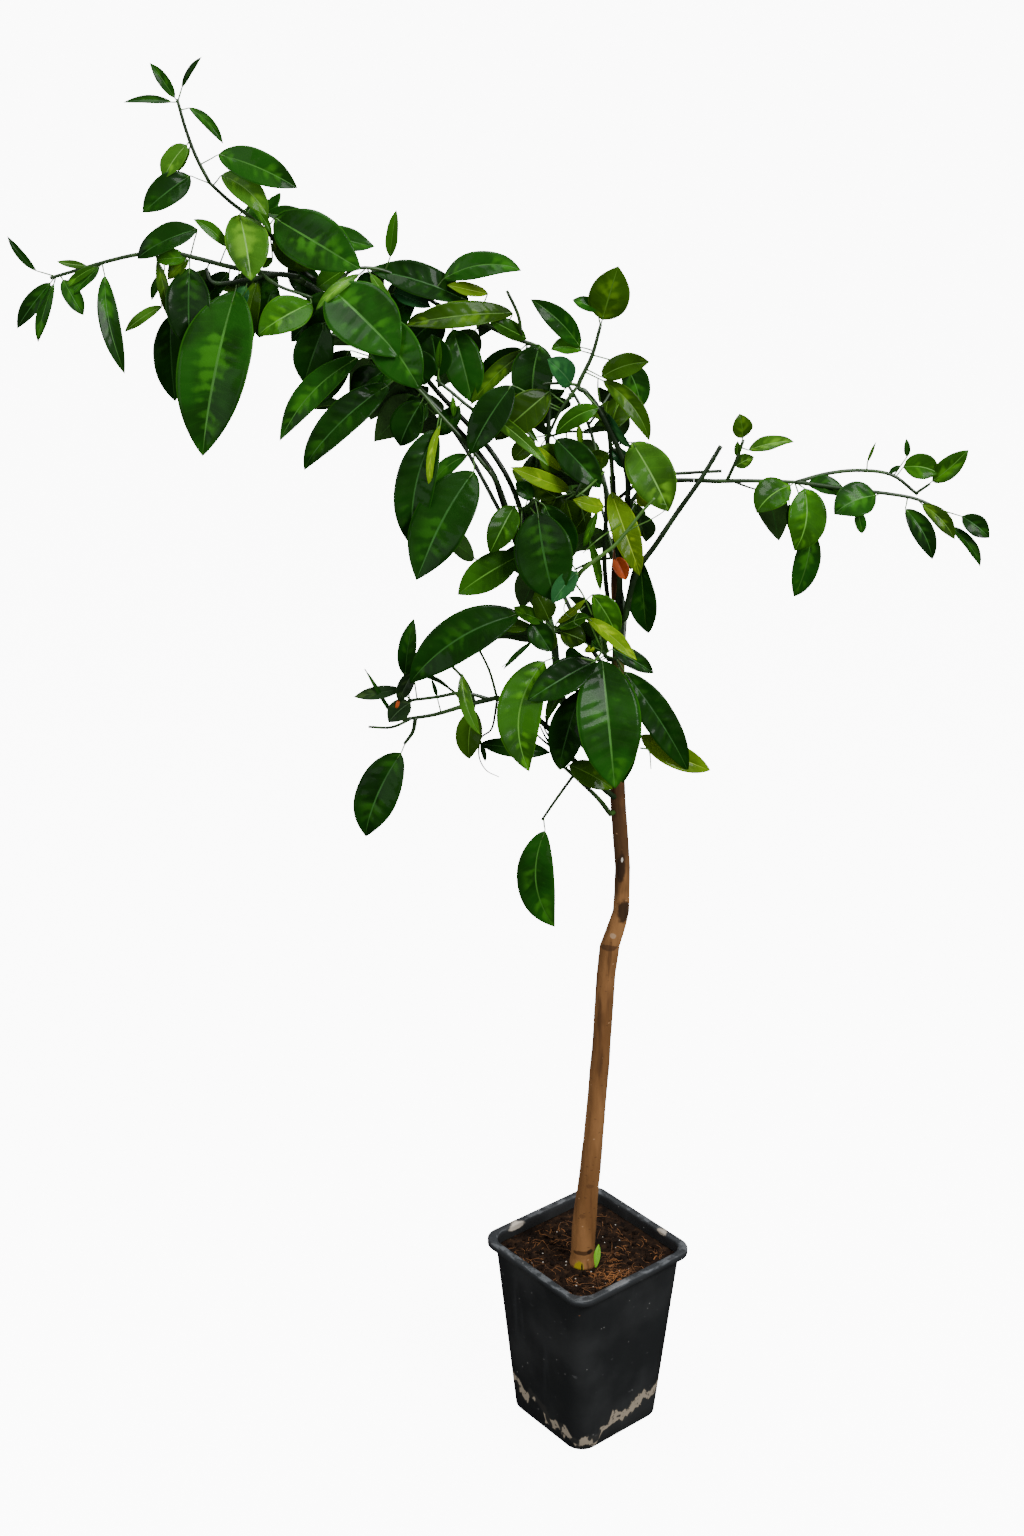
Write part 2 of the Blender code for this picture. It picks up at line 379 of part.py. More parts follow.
        "side_twig": Shoot("stem", 0.4, 7.0, (8.6, 8.2), (-30, -20), [], 3, 1.8),
        "far_twig": Shoot("stem", 0.5, 5.0, (2.0, 1.4), (-60, -40), [], 3, 1.8),
    }),
    "back_right": ("back_right_cane", {
        "stem": Shoot("", 0, 7.0, (11.6, 11.4), (-35, -20), [], 6),
        "side_twig": Shoot("stem", 0.4, 5.0, (1.6, 1.0), (-50, -30), [], 3, 1.8),
        "low_twig": Shoot("stem", 0.2, 5.0, (8.4, 7.6), (-45, -30), [], 3, 1.8),
    }),
    "back_fringe": ("back_high_cane", {
        "stem": Shoot("", 0, 11.0, (10.3, 9.6), (-25, -10), [], 8),
        "side_twig": Shoot("stem", 0.3, 7.0, (8.0, 7.4), (-20, -15), [], 3, 1.8),
        "far_twig": Shoot("stem", 0.6, 6.0, (1.0, 0.4), (-50, -40), [], 3, 1.8),
    }),
    "back_centre": ("back_centre_cane", {
        "stem": Shoot("", 0, 7.0, (11.6, 10.8), (-30, -10), [], 7),
        "side_twig": Shoot("stem", 0.4, 5.0, (1.6, 1.0), (-50, -20), [], 3, 1.8),
        "low_twig": Shoot("stem", 0.3, 5.0, (9.0, 8.0), (-40, -25), [], 3, 1.8),
    }),
}

# Leaf: shares of its length and, there, half its width as a share of its whole width
STALK = 0.12
OUTLINE = [(0.18, 0.4), (0.47, 0.5), (0.78, 0.35)]
NARROW_OUTLINE = [(0.3, 0.48), (0.7, 0.4)]
NARROW = 2.6 * CM
STALK_HALF = 0.65 * MM
THICKNESS = 0.02
LEAST_THICK = 0.8 * MM
TWIG_TIP = 2.2 * MM
BEND = (15, 45)
FOLD = (6, 17)
TURN_SPREAD = 12
ROOT_SPREAD = 1.5 * MM
LEANS_TRIED = (0, 6, -6, 12, -12, 18, -18, 26)
TURNS_TRIED = (0, 22, -22, 44)
CLEAR = 0.8 * MM
SPARE_LONG = (5.0, 8.0)
SPARE_WIDE = 0.44
SHADED = 0.75
SPARE_TONES = ("deep", "deep", "mid", "olive")
SPARE_TRIES = 60
SPACE = 11.0 * CM
NECK = 1.8 * CM

# The side that the stated leaves face. A seeded leaf only grows in their shade
LIT_SIDE = Vector((0.0, -0.93, 0.37))


def aim(clock, lean):
    """The unit vector of a clock hand that leans towards the front."""
    hand = math.radians(30 * clock)
    lean = math.radians(lean)
    return Vector((math.sin(hand) * math.cos(lean), -math.sin(lean), math.cos(hand) * math.cos(lean)))


def clamp_share(value):
    return min(max(value, 0.0), 1.0)


def smooth_route(points, per):
    """Points along a smooth curve through the given ones, with a few in each span."""
    before = 2 * points[0] - points[1]
    after = 2 * points[-1] - points[-2]
    whole = [before, *points, after]
    out = [points[0]]
    for a, b, c, d in zip(whole, whole[1:], whole[2:], whole[3:]):
        for k in range(1, per + 1):
            t = k / per
            square = (2 * a - 5 * b + 4 * c - d) * t**2
            cube = (3 * b - a - 3 * c + d) * t**3
            out.append(0.5 * (2 * b + (c - a) * t + square + cube))
    return out


def along(points, share):
    """The place and direction at a share of a path's points."""
    place = clamp_share(share) * (len(points) - 1)
    k = min(int(place), len(points) - 2)
    step = points[k + 1] - points[k]
    return points[k] + (place - k) * step, step.normalized()


class Limb(NamedTuple):
    """A limb as it was grown: its middle line, its radii, the normal of its foot's flat cut, and the last
    stretch of its route, which belongs to the mass that it carries."""

    points: list
    radii: list
    foot_normal: Vector
    neck: list


def trunk_limb():
    points = [Vector((x, y, z)) * CM for z, x, y, _ in TRUNK]
    points[0].z = SOIL_TOP + GAP
    radii = [across * CM / 2 for *_, across in TRUNK]
    return Limb(points, radii, Vector((0, 0, 1)), [])


def at_height(limb, height):
    """The middle line's point, radius and direction at a height of a limb that rises."""
    for k in range(len(limb.points) - 1):
        low, high = limb.points[k : k + 2]
        if low.z <= height <= high.z:
            t = (height - low.z) / (high.z - low.z)
            radius = limb.radii[k] + t * (limb.radii[k + 1] - limb.radii[k])
            return low.lerp(high, t), radius, (high - low).normalized()
    raise ValueError("no such height on the limb")


def grow_bough(bough, limbs):
    """A tapering limb that starts clear of its parent's side or tip, with a swollen knot if it has one."""
    parent = limbs[bough.parent]
    foot_radius = bough.foot * MM / 2
    if bough.height is None:
        normal = (parent.points[-1] - parent.points[-2]).normalized()
        start = parent.points[-1] + normal * GAP
        elbow = start + normal * foot_radius
    else:
        middle, radius, way = at_height(parent, bough.height * CM)
        side = Vector((math.cos(math.radians(bough.side)), math.sin(math.radians(bough.side)), 0))
        normal = (side - way * side.dot(way)).normalized()
        start = middle + normal * (radius + 2 * GAP)
        elbow = start + normal * 1.6 * foot_radius + Vector((0, 0, 1.2 * foot_radius))
    points = [start, *smooth_route([elbow] + [Vector(point) * CM for point in bough.route], 2)]
    last = len(points) - 1
    radii = []
    for k in range(last + 1):
        t = k / last
        swell = clamp_share((t - 0.72) / 0.2) * bough.knot
        radii.append((bough.foot + t * (bough.tip - bough.foot) + swell) * MM / 2)
    if not bough.bare:
        return cut_neck(Limb(points, radii, normal, []))
    return Limb(points, radii, normal, [])


def cut_neck(limb):
    """The limb without the last stretch of its route, which is kept as its neck."""
    points = list(limb.points)
    radii = list(limb.radii)
    neck = []
    left = NECK
    while (points[-1] - points[-2]).length <= left:
        left -= (points[-1] - points[-2]).length
        neck.insert(0, points.pop())
        radii.pop()
    neck.insert(0, points.pop())
    share = left / (neck[0] - points[-1]).length
    radii[-1] = radii[-1] + share * (radii[-2] - radii[-1])
    points.append(neck[0].lerp(points[-1], share))
    return Limb(points, radii, limb.foot_normal, neck)


def grow_limbs():
    limbs = {"trunk": trunk_limb()}
    for name, bough in BOUGHS.items():
        limbs[name] = grow_bough(bough, limbs)
    return limbs


def between(values, share):
    """The value at a share of the way through a few evenly spaced ones."""
    place = clamp_share(share) * (len(values) - 1)
    k = min(int(place), len(values) - 2)
    return values[k] + (place - k) * (values[k + 1] - values[k])


def shoot_path(start, shoot):
    """A shoot's middle line, which turns evenly through its clock hands and leans."""
    steps = max(2, round(shoot.long / 2.5))
    points = [start]
    for k in range(steps):
        share = (k + 0.5) / steps
        heading = aim(between(shoot.clock, share), between(shoot.lean, share))
        points.append(points[-1] + heading * shoot.long * CM / steps)
    return points


def stem_neck(carrier, stem, limbs):
    """The foot of a mass's stem, clear of its bough's tip or of the trunk's side, and the way it faces."""
    if isinstance(carrier, str):
        limb = limbs[carrier]
        end = limb.points[-1]
        way = (limb.neck[0] - end).normalized()
        neck = [point for point in limb.neck if (point - end).length > stem.thick * MM]
        return [end + way * GAP, *neck], way
    middle, radius, _ = at_height(limbs["trunk"], carrier * CM)
    way = aim(stem.clock[0], stem.lean[0])
    way.z = 0.0
    way.normalize()
    foot = middle + way * (radius + GAP)
    return [foot, foot + way * stem.thick * MM], way


class Blade(NamedTuple):
    """A leaf as it was grown: its root, the base and heading of its blade, its face and side vectors, its
    blade's length and width in metres, its bend, sweep and fold, and its tone."""

    root: Vector
    base: Vector
    heading: Vector
    face: Vector
    side: Vector
    long: float
    wide: float
    bend: float
    sweep: float
    fold: float
    tone: str


def make_blade(root, heading, leaf, turn, front, bend, fold):
    """A leaf whose face looks up and to the front, or to the back, turned about its own length."""
    outward = Vector((0, -0.85 * front, 0.55))
    face = outward - heading * outward.dot(heading)
    if face.length < 0.05:
        face = Vector((1, 0, 0)) - heading * heading.x
    face = Matrix.Rotation(turn, 3, heading) @ face.normalized()
    if leaf.stalk:
        base = root + aim(leaf.stalk[0], leaf.lean) * leaf.stalk[1] * CM
        long = leaf.long * CM
    else:
        base = root + heading * STALK * leaf.long * CM
        long = leaf.long * (1 - STALK) * CM
    side = heading.cross(face)
    sweep = math.radians(30 * leaf.sweep)
    return Blade(root, base, heading, face, side, long, leaf.wide * CM, bend, sweep, fold, leaf.tone)


def midrib(blade, share):
    """The place at a share of the blade's length, on an arc over its chord, and its normal and side."""
    bow = blade.face * blade.bend - blade.side * blade.sweep
    place = blade.base + (blade.heading * share + bow * 0.5 * share * (1 - share)) * blade.long
    way = (blade.heading + bow * (0.5 - share)).normalized()
    normal = (blade.face - way * blade.face.dot(way)).normalized()
    return place, normal, way.cross(normal)


def leaf_sections(blade, grown=0.0):
    """Rings of four points from root to tip: left edge, upper middle, right edge, lower middle."""
    _, normal, side = midrib(blade, 0.0)
    way = normal.cross(side)
    stalk = (blade.base - blade.root).normalized()
    half = STALK_HALF + grown
    rings = []
    for place, ahead in ((blade.root, stalk), (blade.base, stalk + way)):
        turn = way.rotation_difference(ahead)
        across = turn @ side * half
        up = turn @ normal * half
        rings.append([place - across, place + up, place + across, place - up])
    half_thick = max(THICKNESS * blade.long, LEAST_THICK) / 2 + grown
    for share, width in OUTLINE if blade.wide > NARROW else NARROW_OUTLINE:
        place, normal, side = midrib(blade, share)
        lift = normal * width * blade.wide * math.sin(blade.fold)
        across = side * (width * blade.wide * math.cos(blade.fold) + grown)
        up = normal * half_thick
        rings.append([place - across + lift, place + up, place + across + lift, place - up])
    return rings


def loft(rings, tip=None):
    """Vertices and faces of a closed body through rings of points, ended by a flat cap or by a point."""
    count = len(rings[0])
    verts = [point for ring in rings for point in ring]
    faces = [tuple(reversed(range(count)))]
    for row in range(len(rings) - 1):
        for k in range(count):
            a = row * count + k
            b = row * count + (k + 1) % count
            faces.append((a, b, b + count, a + count))
    last = (len(rings) - 1) * count
    if tip is None:
        faces.append(tuple(range(last, last + count)))
    else:
        verts.append(tip)
        faces += [(last + k, last + (k + 1) % count, len(verts) - 1) for k in range(count)]
    return verts, faces


def leaf_body(blade, grown=0.0):
    tip = midrib(blade, 1.0)[0]
    return loft(leaf_sections(blade, grown), tip + blade.heading * grown)


def tube_body(points, radii, sides, foot_normal=None):
    """A tapering tube with flat ends. Its foot's ring may lie in a plane of its own, by foot_normal."""
    rings = []
    upright = None
    for k, (point, radius) in enumerate(zip(points, radii)):
        before = points[max(k - 1, 0)]
        after = points[min(k + 1, len(points) - 1)]
        way = (after - before).normalized()
        if k == 0 and foot_normal:
            way = foot_normal
        if upright is None:
            helper = Vector((0, 0, 1)) if abs(way.z) < 0.9 else Vector((0, -1, 0))
            upright = helper
        across = way.cross(upright).normalized()
        upright = across.cross(way).normalized()
        ring = []
        for j in range(sides):
            spin = 2 * math.pi * j / sides
            ring.append(point + across * radius * math.cos(spin) - upright * radius * math.sin(spin))
        rings.append(ring)
    return loft([list(reversed(ring)) for ring in rings])


def shoot_body(points, shoot, sides, foot_normal=None):
    last = len(points) - 1
    foot = shoot.thick * MM / 2
    tip = min(TWIG_TIP, shoot.thick * MM * 0.8) / 2
    radii = [foot + (tip - foot) * k / last for k in range(last + 1)]
    return tube_body(points, radii, sides, foot_normal)


def tree_of(bodies):
    """One search tree of several closed bodies."""
    verts, faces = [], []
    for body_verts, body_faces in bodies:
        faces += [tuple(len(verts) + k for k in face) for face in body_faces]
        verts += body_verts
    return BVHTree.FromPolygons(verts, faces)


def is_clear(blade, obstacles):
    tested = tree_of([leaf_body(blade, CLEAR)])
    return not any(tested.overlap(tree) for tree in obstacles)


def stated_blade(leaf, path, chance, obstacles):
    """A stated leaf, at the first lean and turn that keep clear of limbs and other masses, or None."""
    spread = ROOT_SPREAD / sum((after - before).length for before, after in zip(path, path[1:]))
    root, _ = along(path, min(max(leaf.at, 0.03), 0.985) - chance.uniform(0, spread))
    turn = chance.uniform(-TURN_SPREAD, TURN_SPREAD)
    bend = math.radians(chance.uniform(*BEND))
    fold = math.radians(chance.uniform(*FOLD))
    for extra_lean in LEANS_TRIED:
        for extra_turn in TURNS_TRIED:
            heading = aim(leaf.clock, leaf.lean + extra_lean)
            spin = math.radians(turn + extra_turn)
            blade = make_blade(root, heading, leaf, spin, 1, bend, fold)
            if is_clear(blade, obstacles):
                return blade
    return None


def is_shaded(blade, shade):
    """Whether the stated leaves cover most of a leaf, seen from the lit side."""
    points = [midrib(blade, 1.0)[0]]
    for left, _, right, _ in leaf_sections(blade)[1:]:
        points += [left, right]
    hidden = sum(1 for point in points if shade.ray_cast(point, LIT_SIDE)[0])
    return hidden >= SHADED * len(points)


def spare_blade(path, share, chance, obstacles, shade):
    """A seeded leaf on the shoot's far side that hangs a little. None where none of the tries fits."""
    root, axis = along(path, share)
    away = Vector((0, 1, 0)) - axis * axis.y
    if away.length < 0.3:
        away = Vector((1, 0, 0)) - axis * axis.x
    for _ in range(SPARE_TRIES):
        spin = Matrix.Rotation(math.radians(chance.uniform(-70, 70)), 3, axis)
        heading = (axis * 0.4 + spin @ away.normalized() + Vector((0, 0, -0.55))).normalized()
        long = chance.uniform(*SPARE_LONG)
        leaf = Leaf(share, 0, long, long * SPARE_WIDE, 0, chance.choice(SPARE_TONES))
        turn = math.radians(chance.uniform(-30, 30))
        bend = math.radians(chance.uniform(*BEND))
        fold = math.radians(chance.uniform(*FOLD))
        blade = make_blade(root, heading, leaf, turn, -1, bend, fold)
        reach = (root + heading * long * CM - path[0].lerp(path[-1], 0.5)).length
        in_space = reach < SPACE + (path[-1] - path[0]).length / 2
        if in_space and is_shaded(blade, shade) and is_clear(blade, obstacles):
            return blade
    return None


class Grown(NamedTuple):
    """A mass as it was grown: its stem's foot and the way that this faces, its shoots' paths, its leaves."""

    neck: list
    way: Vector
    paths: dict
    blades: list


def grow_shoots(carrier, shoots, limbs):
    """A mass's shoots, before any leaf."""
    neck, way = stem_neck(carrier, shoots["stem"], limbs)
    paths = {}
    for key, shoot in shoots.items():
        start = along(paths[shoot.on], min(shoot.at, 0.985))[0] if shoot.on else neck[-1]
        paths[key] = shoot_path(start, shoot)
    return Grown(neck, way, paths, [])


def shoot_bodies(name, grown, smooth=1, stem_sides=STEM_SIDES, twig_sides=TWIG_SIDES):
    """The stem and twigs of a mass as closed bodies."""
    bodies = []
    for key, shoot in MASSES[name][1].items():
        if shoot.on:
            path = smooth_route(grown.paths[key], smooth)
            bodies.append(shoot_body(path, shoot, twig_sides))
        else:
            path = [grown.neck[0], *smooth_route(grown.neck[1:] + grown.paths[key][1:], smooth)]
            bodies.append(shoot_body(path, shoot, stem_sides, grown.way))
    return bodies


def grow_masses(limbs):
    """Every mass in turn. Its leaves keep clear of the limbs and of all that the other masses have grown."""
    chance = random.Random(SEED)
    limb_tree = tree_of([limb_body(limb, BOUGH_SIDES) for limb in limbs.values()])
    grown = {name: grow_shoots(carrier, shoots, limbs) for name, (carrier, shoots) in MASSES.items()}
    trees = {name: tree_of(shoot_bodies(name, mass)) for name, mass in grown.items()}
    for spare in (False, True):
        shade = tree_of([leaf_body(blade) for mass in grown.values() for blade in mass.blades])
        for name, (_, shoots) in MASSES.items():
            obstacles = [limb_tree] + [tree for other, tree in trees.items() if other != name]
            for key, shoot in shoots.items():
                path = grown[name].paths[key]
                if spare:
                    shares = [(k + 0.6) / shoot.spare for k in range(shoot.spare)]
                    tries = [spare_blade(path, share, chance, obstacles, shade) for share in shares]
                else:
                    tries = [stated_blade(leaf, path, chance, obstacles) for leaf in shoot.leaves]
                grown[name].blades.extend(blade for blade in tries if blade)
            bodies = shoot_bodies(name, grown[name]) + [leaf_body(blade) for blade in grown[name].blades]
            trees[name] = tree_of(bodies)
    return grown


def limb_body(limb, sides):
    return tube_body(limb.points, limb.radii, sides, limb.foot_normal)


def rounded_square(half, corner, height):
    """A turned square with round corners, as points that run anticlockwise from above."""
    ring = []
    for quarter in range(4):
        start = quarter * math.pi / 2
        centre = Matrix.Rotation(start, 2) @ Vector((half - corner, half - corner))
        for step in range(CORNER_STEPS + 1):
            angle = start + step * math.pi / 2 / CORNER_STEPS
            ring.append(centre + corner * Vector((math.cos(angle), math.sin(angle))))
    turn = Matrix.Rotation(POT_TURN, 2)
    return [(turn @ point).to_3d() + Vector((0, 0, height)) for point in ring]


def wall_at(height, inset):
    """The pot's body at a height, drawn in by inset: half width and corner radius."""
    share = height / (POT_HEIGHT - LIP_TALL)
    half = FOOT_HALF + share * (UNDER_LIP_HALF - FOOT_HALF) - inset
    corner = FOOT_CORNER + share * (RIM_CORNER - FOOT_CORNER) - inset
    return half, corner


def new_object(name, verts, faces, material, sharp=40):
    """A smooth shaded mesh object whose faces point out."""
    mesh = bpy.data.meshes.new(name)
    mesh.from_pydata(verts, [], faces)
    shape = bmesh.new()
    shape.from_mesh(mesh)
    bmesh.ops.recalc_face_normals(shape, faces=shape.faces)
    shape.to_mesh(mesh)
    shape.free()
    mesh.shade_smooth()
    mesh.set_sharp_from_angle(angle=math.radians(sharp))
    mesh.materials.append(material)
    thing = bpy.data.objects.new(name, mesh)
    bpy.context.scene.collection.objects.link(thing)
    return thing


def plain_material(name, colour, roughness):
    material = bpy.data.materials.new(name)
    material.use_nodes = True
    shader = material.node_tree.nodes["Principled BSDF"]
    shader.inputs["Base Color"].default_value = (*colour, 1.0)
    shader.inputs["Roughness"].default_value = roughness
    shader.inputs["Metallic"].default_value = 0.0
    return material


def make_pot():
    """A thin walled square pot with a lip round its rim and four drain holes in its floor."""
    under_lip = POT_HEIGHT - LIP_TALL
    foot_half, foot_corner = wall_at(0, 0)
    low_half, low_corner = wall_at(EDGE, 0)
    inner_half, inner_corner = wall_at(under_lip, WALL)
    floor_half, floor_corner = wall_at(FLOOR, WALL)
    rings = [
        rounded_square(foot_half - EDGE, foot_corner - EDGE, 0),
        rounded_square(low_half, low_corner, EDGE),
        rounded_square(UNDER_LIP_HALF, RIM_CORNER, under_lip),
        rounded_square(RIM_HALF - EDGE, RIM_CORNER, under_lip),
        rounded_square(RIM_HALF, RIM_CORNER, under_lip + EDGE),
        rounded_square(RIM_HALF, RIM_CORNER, POT_HEIGHT - EDGE),
        rounded_square(RIM_HALF - EDGE, RIM_CORNER, POT_HEIGHT),
        rounded_square(inner_half + EDGE, inner_corner, POT_HEIGHT),
        rounded_square(inner_half, inner_corner, POT_HEIGHT - EDGE),
        rounded_square(inner_half, inner_corner, under_lip),
        rounded_square(floor_half, floor_corner, FLOOR),
    ]
    pot = new_object("pot", *loft(rings), plain_material("black_plastic", (0.013, 0.015, 0.016), 0.45))
    for quarter in range(4):
        way = Matrix.Rotation(POT_TURN + quarter * math.pi / 2, 3, "Z") @ Vector((1, 0, 0))
        place = way * DRAIN_OUT
        circle = [
            place + DRAIN_RADIUS * Vector((math.cos(spin), math.sin(spin), 0))
            for spin in (2 * math.pi * k / 12 for k in range(12))
        ]
        below = [point - Vector((0, 0, FLOOR)) for point in circle]
        above = [point + Vector((0, 0, 2 * FLOOR)) for point in circle]
        cutter = new_object(f"drain_cutter_{quarter + 1}", *loft([below, above]), pot.data.materials[0])
        cutter.hide_render = True
        cutter.display_type = "WIRE"
        drain = pot.modifiers.new(f"drain_{quarter + 1}", "BOOLEAN")
        drain.object = cutter
        drain.operation = "DIFFERENCE"
        drain.solver = "EXACT"
    return pot


def make_soil(trunk):
    """The soil that fills the pot, uneven on top and level where the trunk stands on it."""
    chance = random.Random(SEED)
    edge_height = SOIL_TOP + SOIL_BUMP
    base_half, base_corner = wall_at(FLOOR + GAP, WALL + GAP)
    edge_half, edge_corner = wall_at(edge_height, WALL + GAP)
    edge = rounded_square(edge_half, edge_corner, edge_height)
    middle = Vector((trunk.points[0].x, trunk.points[0].y, SOIL_TOP))
    rings = [rounded_square(base_half, base_corner, FLOOR + GAP), edge]
    for share in SOIL_RINGS:
        uneven = clamp_share((1 - share - SOIL_LEVEL_TO) / SOIL_LEVEL_TO)
        ring = [point.lerp(middle, share) for point in edge]
        for point in ring:
            point.z = SOIL_TOP + uneven * chance.uniform(-1, 1) * SOIL_BUMP
        rings.append(ring)
    return new_object("soil", *loft(rings), plain_material("potting_soil", (0.023, 0.011, 0.005), 0.95), 80)


def islands_of(shape):
    """The faces of a mesh in connected groups."""
    left = set(shape.faces)
    groups = []
    while left:
        group = [left.pop()]
        for face in group:
            for edge in face.edges:
                for other in edge.link_faces:
                    if other in left:
                        left.discard(other)
                        group.append(other)
        groups.append(group)
    return groups


def keep_outer_body(mesh):
    """Drops what the union left inside or loose, and says whether the rest is closed."""
    shape = bmesh.new()
    shape.from_mesh(mesh)
    bmesh.ops.triangulate(shape, faces=shape.faces)
    groups = sorted(islands_of(shape), key=len)
    for group in groups[:-1]:
        bmesh.ops.delete(shape, geom=group, context="FACES")
    closed = len(shape.faces) > 0 and all(len(edge.link_faces) % 2 == 0 for edge in shape.edges)
    shape.to_mesh(mesh)
    shape.free()
    return closed


def fuse(name, bodies, material, solver):
    """One solid of a mass's shoots and leaves, by a Boolean union, and whether it closed."""
    collection = bpy.data.collections.new(f"{name}_pieces")
    bpy.context.scene.collection.children.link(collection)
    stem = new_object(name, *bodies[0], material, 60)
    for index, (verts, faces) in enumerate(bodies[1:]):
        piece = new_object(f"{name}_piece_{index}", verts, faces, material)
        bpy.context.scene.collection.objects.unlink(piece)
        collection.objects.link(piece)
    union = stem.modifiers.new("union", "BOOLEAN")
    union.operation = "UNION"
    union.operand_type = "COLLECTION"
    union.collection = collection
    union.solver = solver
    bpy.context.view_layer.update()
    evaluated = stem.evaluated_get(bpy.context.evaluated_depsgraph_get())
    fused = bpy.data.meshes.new_from_object(evaluated)
    stem.modifiers.clear()
    stem.data = fused
    fused.name = name
    for piece in list(collection.objects):
        bpy.data.objects.remove(piece)
    bpy.data.collections.remove(collection)
    closed = keep_outer_body(fused)
    fused.shade_smooth()
    fused.set_sharp_from_angle(angle=math.radians(50))
    return stem, closed


def make_mass(name, grown, material):
    bodies = shoot_bodies(name, grown) + [leaf_body(blade) for blade in grown.blades]
    mass, closed = fuse(name, bodies, material, "EXACT")
    if not closed:
        bpy.data.objects.remove(mass)
        mass, _ = fuse(name, bodies, material, "MANIFOLD")
    return mass


def main():
    for thing in list(bpy.data.objects):
        bpy.data.objects.remove(thing)
    limbs = grow_limbs()
    make_pot()
    make_soil(limbs["trunk"])
    bark = plain_material("brown_bark", (0.25, 0.1, 0.036), 0.8)
    cane = plain_material("green_cane", (0.03, 0.09, 0.015), 0.6)
    leaf = plain_material("green_leaf", (0.02, 0.12, 0.012), 0.4)
    new_object("trunk", *limb_body(limbs["trunk"], TRUNK_SIDES), bark)
    for name in BOUGHS:
        new_object(name, *limb_body(limbs[name], BOUGH_SIDES), cane)
    for name, grown in grow_masses(limbs).items():
        make_mass(name, grown, leaf)


main()
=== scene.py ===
"""Looks of the potted sweet orange tree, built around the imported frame.

Metres, +Z up, the tree faces -Y. Directions are told as a clock hand seen from the front (12 up, 3 towards +X)
and a lean towards the front. The limbs and masses grow by the same rule as the frame's solids.
"""

import json
import math
import random
from typing import NamedTuple

import bmesh
import bpy
from mathutils import Matrix, Vector, noise
from mathutils.bvhtree import BVHTree

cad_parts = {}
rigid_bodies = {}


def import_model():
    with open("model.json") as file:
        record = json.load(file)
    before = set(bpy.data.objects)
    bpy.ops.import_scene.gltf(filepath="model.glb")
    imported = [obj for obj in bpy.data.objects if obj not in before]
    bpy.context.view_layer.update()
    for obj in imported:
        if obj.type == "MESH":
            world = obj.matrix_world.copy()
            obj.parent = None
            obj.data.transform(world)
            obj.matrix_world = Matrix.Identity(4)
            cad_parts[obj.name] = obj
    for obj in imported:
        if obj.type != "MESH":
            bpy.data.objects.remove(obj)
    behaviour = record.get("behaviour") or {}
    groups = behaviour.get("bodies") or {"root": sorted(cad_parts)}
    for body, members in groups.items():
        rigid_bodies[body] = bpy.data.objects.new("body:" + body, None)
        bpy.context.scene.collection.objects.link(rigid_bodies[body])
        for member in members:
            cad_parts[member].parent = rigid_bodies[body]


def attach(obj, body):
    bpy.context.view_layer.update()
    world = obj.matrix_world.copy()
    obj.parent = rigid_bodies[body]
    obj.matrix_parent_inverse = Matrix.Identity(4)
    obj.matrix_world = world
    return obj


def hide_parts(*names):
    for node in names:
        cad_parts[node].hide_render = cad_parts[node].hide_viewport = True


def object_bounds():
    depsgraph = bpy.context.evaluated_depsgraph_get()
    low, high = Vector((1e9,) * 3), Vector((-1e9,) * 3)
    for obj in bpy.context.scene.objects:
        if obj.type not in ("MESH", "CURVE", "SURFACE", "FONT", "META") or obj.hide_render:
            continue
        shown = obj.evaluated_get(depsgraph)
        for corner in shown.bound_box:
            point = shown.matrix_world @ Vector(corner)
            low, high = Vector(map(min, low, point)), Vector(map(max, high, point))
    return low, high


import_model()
cad_box = [list(corner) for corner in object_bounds()]

CM = 0.01
MM = 0.001
GAP = 0.3 * MM
SEED = 7
SOIL_TOP = 18.2 * CM
BOUGH_SIDES = 7
STEM_SIDES = 5
TWIG_SIDES = 3

# Trunk: height, x and y of its middle, and diameter, in cm. It flares at the soil and jogs at the old graft
TRUNK = [
    (18.2, -0.5, -1.7, 2.65), (19.2, -0.5, -1.6, 2.3), (22.0, -0.4, -1.4, 2.35), (25.0, -0.2, -1.2, 2.2),
    (28.0, 0.1, -1.0, 2.05), (32.0, 0.4, -0.8, 1.9), (41.0, 1.0, -0.4, 1.8), (49.2, 1.35, -0.2, 1.75),
    (52.0, 1.65, -0.1, 1.9), (53.8, 2.2, 0.0, 1.78), (55.6, 2.65, 0.0, 1.52), (60.0, 2.7, 0.0, 1.4),
    (66.6, 2.15, 0.0, 1.4), (72.0, 1.95, 0.0, 1.25), (78.0, 2.0, 0.0, 1.15), (82.0, 1.9, 0.0, 1.05),
]


class Bough(NamedTuple):
    """A limb: its parent, the height in cm where it leaves it (None: at its tip), the side it leaves on in
    degrees from +X, the points it bends through in cm, its diameters at foot and tip in mm, how much a knot
    at its tip adds, and whether it ends bare, with no mass."""

    parent: str
    height: float
    side: float
    route: list
    foot: float
    tip: float
    knot: float = 0.0
    bare: bool = False


